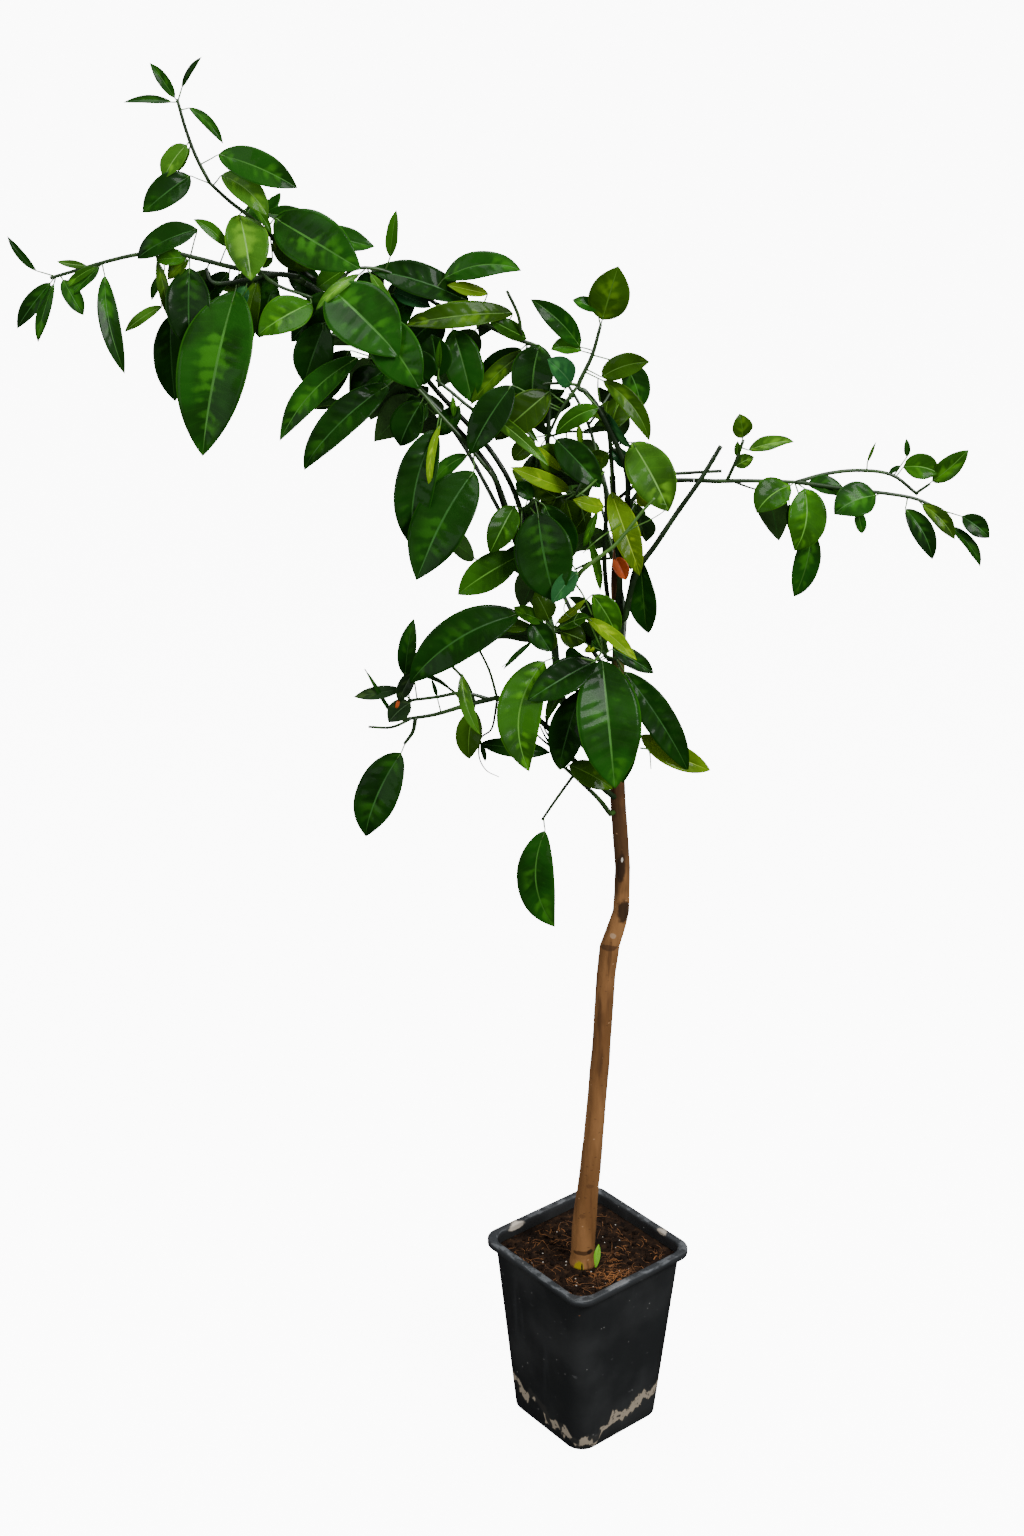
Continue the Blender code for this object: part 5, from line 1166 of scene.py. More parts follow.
def fine_leaf(blade, chance):
    """A leaf with a grooved midrib, puckers between its side veins, a wavy edge and a curled tip, as a closed
    sheet."""
    rows = max(9, round(blade.long / CM * ROWS_PER_CM))
    veins = max(3.0, blade.long / CM * VEINS_PER_CM)
    wave = chance.uniform(0.5, 1.5)
    phase = chance.uniform(0, 2 * math.pi)
    twist = chance.uniform(-0.3, 0.3)
    curl = chance.uniform(-0.1, 0.35)
    pucker = PUCKER * min(1.0, blade.wide / (3 * CM)) * chance.uniform(0.6, 1.3)
    rough = Vector([chance.uniform(-50, 50) for _ in range(3)])
    upper, lower, places = [], [], []
    for row in range(rows + 1):
        share = row / rows
        place, normal, side = midrib(blade, share)
        place = place - normal * curl * blade.long * 0.25 * max(0.0, share - 0.78) ** 2 / 0.05
        least = STALK_HALF * 0.8 if share < 0.5 else TIP_HALF
        half = max(outline_half(share, blade.wide), least)
        spin = Matrix.Rotation(twist * (share - 0.4), 3, blade.heading)
        side = spin @ side
        face = spin @ normal
        for u in ACROSS:
            edge = abs(u)
            shift = 2.1 if u > 0 else 0.0
            near_tip = min(1.0, half / CM)
            lift = half * edge**1.25 * math.sin(blade.fold)
            vein = veins * share - 0.9 * edge
            uneven = noise.noise(rough + Vector((share * veins * 0.8, 1.4 * u, 0.0)))
            bulge = edge**0.7 * (1 - edge) ** 0.8 * 2.2
            lift += pucker * near_tip * bulge * (math.cos(2 * math.pi * vein) * (0.7 + uneven) + 1.6 * uneven)
            lift += wave * MM * math.sin(phase + 9 * share + shift) * edge**3 * near_tip
            lift -= GROOVE * max(0.0, 1 - edge / 0.14) * min(1.0, half / (0.8 * CM))
            point = place + side * (half * u * math.cos(blade.fold)) + face * lift
            upper.append(point + face * BLADE_THICK / 2)
            lower.append(point - face * BLADE_THICK / 2)
            places.append((u, vein))
    count = len(ACROSS)
    total = (rows + 1) * count
    faces, indices = [], []
    for row in range(rows):
        for k in range(count - 1):
            a = row * count + k
            b = a + 1
            middle = abs(ACROSS[k] + ACROSS[k + 1]) < 0.01
            faces.append((a, b, b + count, a + count))
            indices.append(2 if middle else 0)
            faces.append((total + a, total + a + count, total + b + count, total + b))
            indices.append(2 if middle else 1)
        for k in (0, count - 1):
            a = row * count + k
            faces.append((a, a + count, total + a + count, total + a))
            indices.append(1)
    for k in range(count - 1):
        last = rows * count + k
        faces.append((k, k + total, k + 1 + total, k + 1))
        faces.append((last, last + 1, last + 1 + total, last + total))
        indices += [1, 1]
    return upper + lower, faces, indices, places + places


def leaf_stalk(blade):
    """The stalk from the shoot to the blade, which runs on a little way under the midrib."""
    run_in, _, _ = midrib(blade, 0.08)
    points = smooth_route([blade.root, blade.root.lerp(blade.base, 0.6), blade.base, run_in], 3)
    last = len(points) - 1
    return tube_body(points, [STALK_HALF * (1.15 - 0.45 * k / last) for k in range(last + 1)], 6)


def unlit(name, colour, strength, texture_scale):
    """A backdrop's material, which glows evenly and isn't taken for a lamp."""
    look = Look(name, colour, 0.9)
    look.relief(look.noise(texture_scale), 0.02, 1.0 * MM)
    look.shader.inputs["Emission Color"].default_value = (1, 1, 1, 1)
    look.shader.inputs["Emission Strength"].default_value = strength
    look.material.cycles.emission_sampling = "NONE"
    return look.done()


def stage_mesh(name, verts, faces, material):
    """A part of the studio that only the camera sees."""
    mesh = bpy.data.meshes.new(name)
    mesh.from_pydata(verts, [], faces)
    mesh.materials.append(material)
    thing = bpy.data.objects.new(name, mesh)
    thing.visible_diffuse = False
    thing.visible_glossy = False
    thing.visible_transmission = False
    bpy.context.scene.collection.objects.link(thing)
    return thing


def camera_and_light():
    camera = bpy.data.cameras.new("photo_camera")
    camera.sensor_fit = "VERTICAL"
    camera.sensor_height = FRAME_TALL
    camera.lens = LENS
    camera.clip_end = 4 * SKY_RADIUS
    view = bpy.data.objects.new("photo_camera", camera)
    view.location = CAMERA_AT
    view.rotation_euler = (math.pi / 2 - CAMERA_DOWN, 0, 0)
    bpy.context.scene.collection.objects.link(view)
    bpy.context.scene.camera = view

    world = bpy.data.worlds.new("studio")
    world.use_nodes = True
    world.node_tree.nodes["Background"].inputs["Color"].default_value = (1, 1, 1, 1)
    world.node_tree.nodes["Background"].inputs["Strength"].default_value = AMBIENT
    world.cycles_visibility.camera = False
    world.cycles_visibility.glossy = False
    bpy.context.scene.world = world
    for name, (place, size, power) in LAMPS.items():
        light = bpy.data.lights.new(name, "AREA")
        light.size = size
        light.energy = power
        lamp = bpy.data.objects.new(name, light)
        lamp.location = place
        aim_at = Vector((-0.05, 0, 0.8)) - Vector(place)
        lamp.rotation_euler = aim_at.to_track_quat("-Z", "Y").to_euler()
        bpy.context.scene.collection.objects.link(lamp)


def make_studio():
    """A pale floor, and a white sky whose shell is closed all round."""
    size = FLOOR_HALF
    verts = [(-size, -size, 0), (size, -size, 0), (size, size, 0), (-size, size, 0)]
    floor_white = unlit("pale_floor", (0.8, 0.8, 0.8), BACKDROP - 1.0, 30.0)
    stage_mesh("floor", verts, [(0, 1, 2, 3)], floor_white)
    rings = []
    for row in range(1, 16):
        low = math.pi * row / 16
        ring = []
        for k in range(32):
            spin = 2 * math.pi * k / 32
            way = Vector((math.sin(low) * math.cos(spin), math.sin(low) * math.sin(spin), -math.cos(low)))
            ring.append(way * SKY_RADIUS)
        rings.append(ring)
    stage_mesh("sky", *loft(rings), unlit("white_sky", (0.1, 0.1, 0.1), BACKDROP, 2.0))


def bark_mesh(limb):
    """The trunk with its bark's cracks, scars and slight swellings."""
    sides = 56
    rows = 260
    low, high = limb.points[0].z, limb.points[-1].z
    verts = []
    for row in range(rows + 1):
        z = low + (high - low) * row / rows
        middle, radius, _ = at_height(limb, z)
        young = clamp_share((z - 46 * CM) / (20 * CM))
        for k in range(sides):
            spin = 2 * math.pi * k / sides
            way = Vector((math.cos(spin), math.sin(spin), 0))
            ridge = noise.noise(Vector((way.x * 4, way.y * 4, z * 18)))
            crack = abs(noise.noise(Vector((way.x * 7 + 3, way.y * 7, z * 26))))
            fine = noise.noise(Vector((way.x * 16, way.y * 16, z * 120)))
            swell = noise.noise(Vector((3.1, 1.7, z * 34)))
            deep = (0.02 + 0.05 * young) * max(0.0, 1 - crack / 0.1)
            r = radius * (1 + 0.03 * ridge + 0.015 * fine + 0.03 * swell - deep)
            verts.append(middle + way * min(r, radius * 1.05))
    faces = [tuple(reversed(range(sides)))]
    for row in range(rows):
        for k in range(sides):
            a = row * sides + k
            b = row * sides + (k + 1) % sides
            faces.append((a, b, b + sides, a + sides))
    faces.append(tuple(range(rows * sides, (rows + 1) * sides)))
    return verts, faces


def bark_look():
    """Light brown bark below, darker and more cracked above, with scars, lenticels and a green split foot."""
    look = Look("brown_bark", (0.150, 0.066, 0.0200), 0.85, Specular_IOR_Level=0.2)
    look.lay((0.260, 0.122, 0.0420), look.mask(look.noise(46, (1, 1, 0.22)), 0.4, 0.7))
    look.lay((0.070, 0.029, 0.0090), look.mask(look.noise(120, (1, 1, 0.1)), 0.54, 0.7, 0.8))
    height = look.axis("Z")
    older = look.mask(height, 40 * CM, 56 * CM)
    patches = look.mask(look.noise(34, (1, 1, 0.4)), 0.42, 0.58)
    look.lay((0.042, 0.019, 0.0070), look.math("MULTIPLY", patches, look.math("MULTIPLY", older, 0.8)))
    look.lay((0.055, 0.060, 0.0120), look.mask(height, 71 * CM, 80 * CM, 0.85))
    lenticels = look.mask(look.grains(95, (1, 1, 2.6)), 0.17, 0.1, 0.6)
    look.lay((0.075, 0.032, 0.0120), lenticels)
    look.lay((0.400, 0.230, 0.1200), look.mask(look.grains(70, (1, 1, 1.5)), 0.09, 0.05, 0.7))
    for centre, reach, colour, most in BARK_MARKS:
        spot = look.spot([c * CM for c in centre], [r * CM for r in reach], most)
        look.lay(colour, spot)
    look.relief(look.noise(230, (1, 1, 0.25), 6.0), 0.55, 0.7 * MM)
    look.relief(look.noise(900, (1, 1, 0.6), 4.0), 0.3, 0.25 * MM)
    return look.done()


# Marks on the bark in cm: middle, reach to each side, colour and strength
BARK_MARKS = [
    ((-0.5, -2.9, 20.0), (1.6, 1.2, 0.28), (0.060, 0.026, 0.010), 0.9),
    ((0.2, -2.9, 20.1), (0.4, 1.0, 0.35), (0.020, 0.009, 0.004), 0.9),
    ((-0.9, -3.0, 18.5), (0.55, 1.0, 0.75), (0.300, 0.230, 0.010), 1.0),
    ((-0.6, -3.0, 18.5), (0.1, 1.0, 0.5), (0.010, 0.006, 0.002), 1.0),
    ((0.1, -2.2, 27.2), (0.5, 0.8, 0.25), (0.100, 0.043, 0.014), 0.8),
    ((-0.6, -2.2, 24.0), (0.35, 0.8, 0.3), (0.110, 0.048, 0.016), 0.7),
    ((1.4, -1.0, 52.2), (1.2, 0.9, 0.35), (0.060, 0.026, 0.010), 0.8),
    ((1.9, -1.0, 53.4), (0.35, 0.8, 0.3), (0.380, 0.250, 0.150), 0.8),
    ((2.9, -0.8, 55.8), (0.8, 0.8, 1.4), (0.022, 0.011, 0.005), 0.9),
    ((2.5, -0.8, 60.2), (0.5, 0.8, 1.8), (0.025, 0.012, 0.005), 0.85),
    ((2.6, -0.8, 61.0), (0.12, 0.8, 0.3), (0.600, 0.560, 0.480), 1.0),
]


def fine_route(limb, per):
    """A limb's middle line and radii with more points."""
    points = smooth_route(limb.points, per)
    last = len(points) - 1
    return points, [between(limb.radii, k / last) + CANE_SWELL for k in range(last + 1)]


def cane_body(limb):
    """A cane with the slight swellings where its leaves once stood."""
    points, radii = fine_route(limb, 8)
    walked = 0.0
    for k in range(1, len(points)):
        walked += (points[k] - points[k - 1]).length
        from_node = abs((walked / (2.6 * CM)) % 1.0 - 0.5) * 2.6 * CM
        radii[k] *= 1 + 0.1 * math.exp(-((from_node / (1.2 * MM)) ** 2))
    return tube_body(points, radii, 16, limb.foot_normal)


def cane_look(name, dark, light, streak):
    look = Look(name, dark, 0.42)
    look.lay(light, look.mask(look.noise(70, (1, 1, 0.4)), 0.45, 0.75))
    look.lay(streak, look.mask(look.noise(190, (1, 1, 0.2)), 0.66, 0.78, 0.6))
    look.relief(look.noise(420, (1, 1, 0.3), 5.0), 0.3, 0.3 * MM)
    return look.done()


def make_wood(limbs):
    trunk = mesh_piece("trunk_bark", *bark_mesh(limbs["trunk"]), [bark_look()], slot="bark")
    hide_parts("trunk")
    dark = cane_look("dark_cane", (0.008, 0.022, 0.005), (0.020, 0.060, 0.010), (0.060, 0.090, 0.030))
    leader = cane_look("leader_cane", (0.035, 0.085, 0.030), (0.090, 0.190, 0.070), (0.150, 0.170, 0.090))
    for name in BOUGHS:
        look = leader if name == "left_leader" else dark
        cane = mesh_piece(f"{name}_wood", *cane_body(limbs[name]), [look], slot="cane")
        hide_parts(name)


def swell(piece, by):
    """Thicken a piece along its own normals, within the frame's box."""
    normals = [vertex.normal.copy() for vertex in piece.data.vertices]
    for vertex, normal in zip(piece.data.vertices, normals):
        vertex.co = in_box(vertex.co + normal * by)
    piece.data.update()


def make_foliage(limbs):
    chance = random.Random(SEED)
    twig_green = cane_look("green_twig", (0.012, 0.036, 0.006), (0.035, 0.095, 0.014), (0.090, 0.150, 0.040))
    stalk_green = drifting("green_stalk", (0.045, 0.130, 0.014), 0.4, 90.0, 0.45, 0.15, 500.0)
    twigs = Gathered()
    stalks = Gathered()
    sprays = {tone: Gathered() for tone in TONES}
    for name, grown in grow_masses(limbs).items():
        for body in shoot_bodies(name, grown, 5, 10, 8):
            twigs.add(*body)
        for blade in grown.blades:
            sprays[blade.tone].add(*fine_leaf(blade, chance))
            stalks.add(*leaf_stalk(blade))
    pieces = [
        mesh_piece("twigs", twigs.verts, twigs.faces, [twig_green]),
        mesh_piece("leaf_stalks", stalks.verts, stalks.faces, [stalk_green]),
    ]
    for tone, spray in sprays.items():
        if not spray.verts:
            continue
        top, under, rib = TONES[tone]
        materials = [
            leaf_look(tone, top),
            drifting(f"{tone}_underside", under, 0.25, 38.0, 0.55, 0.25, 900.0, Specular_IOR_Level=0.25),
            drifting(f"{tone}_midrib", rib, 0.2, 38.0, 0.45, 0.1, 900.0, Specular_IOR_Level=0.25),
        ]
        leaves = mesh_piece(f"{tone}_leaves", spray.verts, spray.faces, materials, spray.indices, places=spray.places)
        pieces.append(leaves)
    swell(pieces[0], TWIG_SWELL)
    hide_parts(*MASSES)


def seen_at(across, down, depth):
    """The place that the photograph shows at a pixel, at a depth in cm behind the pot's middle."""
    focal = PHOTO_TALL * LENS / FRAME_TALL
    ray = Vector(((across - PHOTO_WIDE / 2) / focal, 1, (PHOTO_TALL / 2 - down) / focal))
    ray = Matrix.Rotation(-CAMERA_DOWN, 3, "X") @ ray
    camera = Vector(CAMERA_AT)
    return camera + ray * ((depth * CM - camera.y) / ray.y)


# Strand: its colour, its diameter at foot and tip in mm, and its way as the photograph's pixels with a depth in cm
STRANDS = {
    "long_strip": ("light", 4.4, 2.2, [
        (572, 590, -3.0), (580, 573, -5.4), (598, 558, -6.2), (617, 543, -6.6), (642, 512, -6.6), (655, 498, -6.4),
    ]),
    "tendril_a": ("light", 1.4, 0.8, [(622, 523, -3.0), (600, 538, -6.4), (583, 553, -6.6)]),
    "tendril_b": ("light", 1.4, 0.7, [
        (617, 543, -6.6), (630, 530, -6.8), (650, 520, -6.8), (664, 511, -6.8), (666, 505, -6.8), (660, 504, -6.8),
    ]),
    "lime_stem": ("light", 2.2, 1.4, [(604, 472, -1.6), (596, 480, -4.2), (584, 491, -5.6), (576, 497, -5.6)]),
    "thin_stem": ("light", 2.0, 1.2, [(574, 582, -4.2), (583, 595, -5.4), (592, 615, -5.2)]),
    "skirt_petiole": ("light", 2.2, 1.6, [(600, 636, -4.6), (602, 650, -5.8), (594, 660, -6.2), (581, 658, -6.0)]),
    "left_curl": ("light", 1.2, 0.7, [
        (566, 600, -3.0), (564, 610, -3.6), (570, 617, -3.9), (577, 612, -3.9), (573, 605, -3.9),
    ]),
    "right_curl": ("light", 1.2, 0.7, [(585, 606, -3.4), (579, 612, -3.8), (574, 622, -4.0), (581, 627, -4.0)]),
    "fan_a": ("dark", 2.6, 1.6, [(553, 748, -2.5), (545, 742, -2.8), (535, 733, -3.2)]),
    "fan_b": ("dark", 2.4, 1.4, [(552, 746, -2.5), (546, 738, -2.8), (540, 726, -3.1)]),
    "fan_c": ("dark", 2.2, 1.2, [(551, 742, -2.5), (549, 732, -2.7), (545, 716, -2.9)]),
    "fan_d": ("dark", 2.0, 1.2, [(550, 738, -2.5), (545, 730, -2.8), (541, 718, -2.9)]),
    "low_loop": ("dark", 2.2, 0.9, [
        (497, 700, -3.4), (492, 728, -3.8), (481, 738, -3.9), (479, 756, -3.9), (486, 770, -3.9), (499, 777, -3.9),
    ]),
    "left_curl_low": ("dark", 1.8, 0.8, [(531, 641, -2.6), (520, 652, -3.4), (502, 667, -3.6)]),
    "small_twig": ("light", 1.8, 1.0, [(640, 748, -3.0), (649, 751, -3.2), (651, 769, -3.3)]),
    "second_stem": ("dark", 4.6, 3.4, [
        (300, 277, 0.9), (276, 274, 0.8), (246, 280, 0.6), (214, 283, 0.5), (206, 268, 0.9),
    ]),
    "right_sub_twig": ("dark", 2.4, 1.2, [(730, 480, 0.2), (748, 487, 0.0), (763, 491, -0.1)]),
    "left_thin_twig": ("dark", 1.4, 0.8, [(398, 716, -3.6), (380, 694, -3.8), (365, 669, -3.8)]),
    "high_petiole": ("light", 2.0, 1.2, [(600, 402, -2.0), (598, 390, -2.4), (598, 378, -2.6)]),
}

# Torn bark on the canes: its colour, its two ends as the photograph's pixels with a depth in cm, and its width in mm
SCRAPS = {
    "bark_strip": ("brown", (613, 604, -1.0), (614, 548, -1.0), 7.0),
    "orange_scrap": ("orange", (616, 558, -1.2), (626, 580, -2.0), 17.0),
    "orange_flake": ("orange", (399, 700, -3.9), (396, 709, -4.2), 4.0),
}

# Sprouts on the soil: foot and tip as x, y and height over the soil in cm, and width in mm
SPROUTS = [((0.6, -2.4, -0.2), (1.1, -1.2, 1.9), 7.5), ((0.8, 3.4, -0.2), (0.7, 3.5, 0.6), 3.0)]


def strand_body(thick, thin, way):
    points = smooth_route([seen_at(*place) for place in way], 6)
    last = len(points) - 1
    radii = [(thick + (thin - thick) * k / last) * MM / 2 for k in range(last + 1)]
    return tube_body(points, radii, 8)


def blade_between(foot, tip, wide, bend, fold):
    """A leaf's shape from one place to another, facing the front."""
    way = tip - foot
    heading = way.normalized()
    face = Vector((0, -1, 0.3))
    face = (face - heading * face.dot(heading)).normalized()
    return Blade(foot, foot, heading, face, heading.cross(face), way.length, wide, bend, 0.0, fold, "lime")


def make_oddments(materials):
    """The stray stems and tendrils, the torn bark with its orange scrap, and two sprouts on the soil."""
    chance = random.Random(SEED)
    gathered = {kind: Gathered() for kind in ("dark", "light", "brown", "orange")}
    for kind, thick, thin, way in STRANDS.values():
        gathered[kind].add(*strand_body(thick, thin, way))
    for kind, foot, tip, wide in SCRAPS.values():
        blade = blade_between(seen_at(*foot), seen_at(*tip), wide * MM, 0.9, 0.7)
        verts, faces, _, _ = fine_leaf(blade, chance)
        gathered[kind].add(verts, faces)
    for kind, pieces in gathered.items():
        mesh_piece(f"{kind}_oddments", pieces.verts, pieces.faces, [materials[kind]])
    sprouts = Gathered()
    for foot, tip, wide in SPROUTS:
        foot, tip = (Vector(place) * CM + Vector((0, 0, SOIL_TOP)) for place in (foot, tip))
        verts, faces, _, _ = fine_leaf(blade_between(foot, tip, wide * MM, 0.5, 0.5), chance)
        sprouts.add(verts, faces)
    mesh_piece("soil_sprouts", sprouts.verts, sprouts.faces, [materials["sprout"]])


def rounded_square(half, corner, height, steps=CORNER_STEPS, per_side=0):
    """A turned square with round corners, as points that run anticlockwise from above."""
    ring = []
    for quarter in range(4):
        start = quarter * math.pi / 2
        spin = Matrix.Rotation(start, 2)
        centre = spin @ Vector((half - corner, half - corner))
        for step in range(steps + 1):
            angle = start + step * math.pi / 2 / steps
            ring.append(centre + corner * Vector((math.cos(angle), math.sin(angle))))
        after = spin @ Vector((-(half - corner), half))
        before = ring[-1]
        ring += [before.lerp(after, (k + 1) / (per_side + 1)) for k in range(per_side)]
    turn = Matrix.Rotation(POT_TURN, 2)
    return [(turn @ point).to_3d() + Vector((0, 0, height)) for point in ring]


def wall_at(height, inset):
    """The pot's body at a height, drawn in by inset: half width and corner radius."""
    share = height / (POT_HEIGHT - LIP_TALL)
    half = FOOT_HALF + share * (UNDER_LIP_HALF - FOOT_HALF) - inset
    corner = FOOT_CORNER + share * (RIM_CORNER - FOOT_CORNER) - inset
    return half, corner


def bead(half, corner, height, turned, out):
    """Rings round a quarter circle of the bead's section, from one turn to the next, on its out or inner side."""
    rings = []
    for step in range(BEAD_STEPS + 1):
        angle = math.pi / 2 * (turned + step / BEAD_STEPS)
        reach = BEAD * (math.cos(angle) - 1) * out
        rings.append(rounded_square(half + reach, corner + reach, height + BEAD * (math.sin(angle) - 1)))
    return rings


def make_pot():
    """The thin walled pot with a rounded bead round its rim and four drain holes in its floor."""
    under_lip = POT_HEIGHT - LIP_TALL
    foot_half, foot_corner = wall_at(0, 0)
    low_half, low_corner = wall_at(EDGE, 0)
    inner_half, inner_corner = wall_at(under_lip, WALL)
    floor_half, floor_corner = wall_at(FLOOR, WALL)
    rings = [
        rounded_square(foot_half - EDGE, foot_corner - EDGE, 0),
        rounded_square(foot_half - 0.25 * EDGE, foot_corner - 0.25 * EDGE, 0.3 * EDGE),
        rounded_square(low_half, low_corner, EDGE),
        *[rounded_square(*wall_at(under_lip * k / 12, 0), under_lip * k / 12) for k in range(1, 12)],
        rounded_square(UNDER_LIP_HALF, RIM_CORNER, under_lip),
        rounded_square(RIM_HALF - 1.6 * EDGE, RIM_CORNER, under_lip),
        rounded_square(RIM_HALF - 0.3 * EDGE, RIM_CORNER, under_lip + 0.4 * EDGE),
        rounded_square(RIM_HALF, RIM_CORNER, under_lip + 1.3 * EDGE),
        *bead(RIM_HALF, RIM_CORNER, POT_HEIGHT, 0, 1),
        *reversed(bead(inner_half, inner_corner, POT_HEIGHT, 0, -1)),
        rounded_square(inner_half, inner_corner, under_lip),
        rounded_square(floor_half, floor_corner, FLOOR),
    ]
    pot = mesh_piece("pot_shell", *loft(rings), [pot_look()], slot="pot_plastic", sharp=50)
    cutters = Gathered()
    for quarter in range(4):
        way = Matrix.Rotation(POT_TURN + quarter * math.pi / 2, 3, "Z") @ Vector((1, 0, 0))
        circle = [
            way * DRAIN_OUT + DRAIN_RADIUS * Vector((math.cos(spin), math.sin(spin), 0))
            for spin in (2 * math.pi * k / 28 for k in range(28))
        ]
        below = [point - Vector((0, 0, FLOOR)) for point in circle]
        above = [point + Vector((0, 0, 2 * FLOOR)) for point in circle]
        cutters.add(*loft([below, above]))
    cutter_mesh = bpy.data.meshes.new("drain_cutter")
    cutter_mesh.from_pydata(cutters.verts, [], cutters.faces)
    cutter = bpy.data.objects.new("drain_cutter", cutter_mesh)
    bpy.context.scene.collection.objects.link(cutter)
    drain = pot.modifiers.new("drain", "BOOLEAN")
    drain.object = cutter
    drain.operation = "DIFFERENCE"
    drain.solver = "EXACT"
    bpy.context.view_layer.update()
    cut = pot.evaluated_get(bpy.context.evaluated_depsgraph_get())
    drained = bpy.data.meshes.new_from_object(cut)
    pot.modifiers.clear()
    pot.data = drained
    bpy.data.objects.remove(cutter)
    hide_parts("pot")


def pot_look():
    """Dark grey moulded plastic with scuffs, dried cream water marks round its foot, pale rubs on its rim, a painted
    lighter band and painted highlights along the rim, and two painted highlights at the front.
    """
    look = Look("pot_plastic", (0.0165, 0.0178, 0.0186), 0.5)
    look.lay((0.0290, 0.0305, 0.0315), look.mask(look.noise(16), 0.4, 0.7))
    streaks = look.mask(look.noise(60, (1, 1, 0.07)), 0.6, 0.76, 0.5)
    look.lay((0.045, 0.048, 0.052), streaks)
    scratches = look.mask(look.noise(150, (0.25, 1, 1.6), 7.0), 0.69, 0.73, 0.6)
    look.lay((0.090, 0.092, 0.095), scratches)
    height = look.axis("Z")
    off_corner = look.math("ABSOLUTE", look.math("SUBTRACT", look.axis("X"), FRONT_CORNER_X))
    line = look.math("ADD", look.math("MULTIPLY", off_corner, 0.34), 0.85 * CM)
    waver = look.math("MULTIPLY", look.math("SUBTRACT", look.noise(62, (1, 1, 0.4), 4.0), 0.5), 5.0 * CM)
    off_line = look.math("ABSOLUTE", look.math("ADD", look.math("SUBTRACT", height, line), waver))
    band = look.mask(off_line, 5.8 * MM, 4.8 * MM)
    holes = look.mask(look.noise(85, (1, 1, 0.7), 1.0), 0.53, 0.56)
    crust = look.math("MULTIPLY", band, look.mask(look.noise(240), 0.34, 0.44))
    look.lay((0.440, 0.365, 0.270), look.math("MULTIPLY", crust, look.math("SUBTRACT", 1.0, holes)))
    look.lay((0.060, 0.055, 0.045), look.mask(off_line, 8.0 * MM, 5.0 * MM, 0.3))
    # Painted light: the rim is laid a lighter grey, and thin painted highlights (glints) run along its bead
    look.lay((0.034, 0.038, 0.042), look.mask(height, 18.95 * CM, 19.4 * CM, 0.8))
    glints = look.math("MULTIPLY", look.mask(look.noise(75, (1, 1, 5)), 0.5, 0.62), look.mask(height, 19.25 * CM, 19.5 * CM))
    look.lay((0.130, 0.140, 0.150), look.math("MULTIPLY", glints, 0.6))
    look.lay((0.300, 0.300, 0.290), look.mask(look.grains(75), 0.06, 0.03, 0.8))
    # Marks: stains and rubs, and two painted highlights at the front
    for centre, reach, colour, most in POT_MARKS:
        look.lay(colour, look.spot([c * CM for c in centre], [r * CM for r in reach], most))
    look.relief(look.noise(700, detail=5.0), 0.25, 0.2 * MM)
    look.relief(look.noise(45, (1, 1, 0.3)), 0.15, 0.8 * MM)
    look.rough(look.noise(90, (1, 1, 0.5)), 0.34, 0.6)
    return look.done()


# Marks on the pot in cm: middle, reach to each side, colour and strength. Two grey ones are painted highlights
POT_MARKS = [
    ((-6.9, 3.0, 19.3), (1.2, 1.1, 0.45), (0.560, 0.500, 0.420), 1.0),
    ((7.4, 1.6, 19.5), (0.7, 0.8, 0.3), (0.420, 0.370, 0.300), 0.9),
    ((6.0, 5.2, 19.6), (0.9, 0.5, 0.2), (0.300, 0.280, 0.250), 0.8),
    # Painted highlight on the rim's right front edge
    ((3.9, -7.8, 19.6), (2.6, 1.9, 0.12), (0.180, 0.185, 0.190), 0.7),
    # Painted highlight on the left front face, under the rim
    ((-4.9, -7.2, 17.6), (0.8, 0.8, 0.16), (0.220, 0.220, 0.220), 0.8),
    ((-6.4, -5.2, 16.8), (0.5, 1.0, 1.6), (0.050, 0.052, 0.055), 0.7),
    ((-1.0, -9.2, 17.2), (0.22, 0.5, 0.14), (0.300, 0.120, 0.040), 0.9),
]


def soil_height(x, y, foot):
    """How high the soil's lumps stand at a place, level where the trunk's foot is."""
    lumps = noise.noise(Vector((x * 70, y * 70, 0.3)))
    crumbs = noise.noise(Vector((x * 210, y * 210, 4.1)))
    grit = noise.noise(Vector((x * 520, y * 520, 8.7)))
    rise = SOIL_BUMP * (0.75 * lumps + 0.5 * crumbs + 0.25 * grit)
    off = math.hypot(x - foot.x, y - foot.y)
    return SOIL_TOP + rise * clamp_share((off - 0.8 * CM) / (1.2 * CM)) + 0.6 * MM * (off > 1.2 * CM)


def make_soil(trunk):
    """Crumbly soil that fills the pot, strewn with clods, coir fibres and white grains."""
    foot = trunk.points[0]
    edge_height = SOIL_TOP + 1.5 * MM
    base_half, base_corner = wall_at(FLOOR + GAP, WALL + GAP)
    edge_half, edge_corner = wall_at(edge_height, WALL + GAP)
    edge = rounded_square(edge_half, edge_corner, edge_height, 8, SOIL_AROUND)
    rings = [rounded_square(base_half, base_corner, FLOOR + GAP, 8, SOIL_AROUND), edge]
    for k in range(1, SOIL_RINGS):
        ring = [point.lerp(foot, k / SOIL_RINGS) for point in edge]
        for point in ring:
            point.z = soil_height(point.x, point.y, foot)
        rings.append(ring)
    soil = mesh_piece("soil_surface", *loft(rings), [soil_look()], slot="soil")
    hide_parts("soil")
    make_litter(foot)


def pebble(place, reach, chance):
    """A small ragged lump."""
    rings = []
    for row in range(1, 4):
        low = math.pi * row / 4
        ring = []
        for k in range(7):
            spin = 2 * math.pi * k / 7
            way = Vector((math.sin(low) * math.cos(spin), math.sin(low) * math.sin(spin), -0.8 * math.cos(low)))
            ring.append(place + way * reach * chance.uniform(0.75, 1.15))
        rings.append(ring)
    return loft(rings)


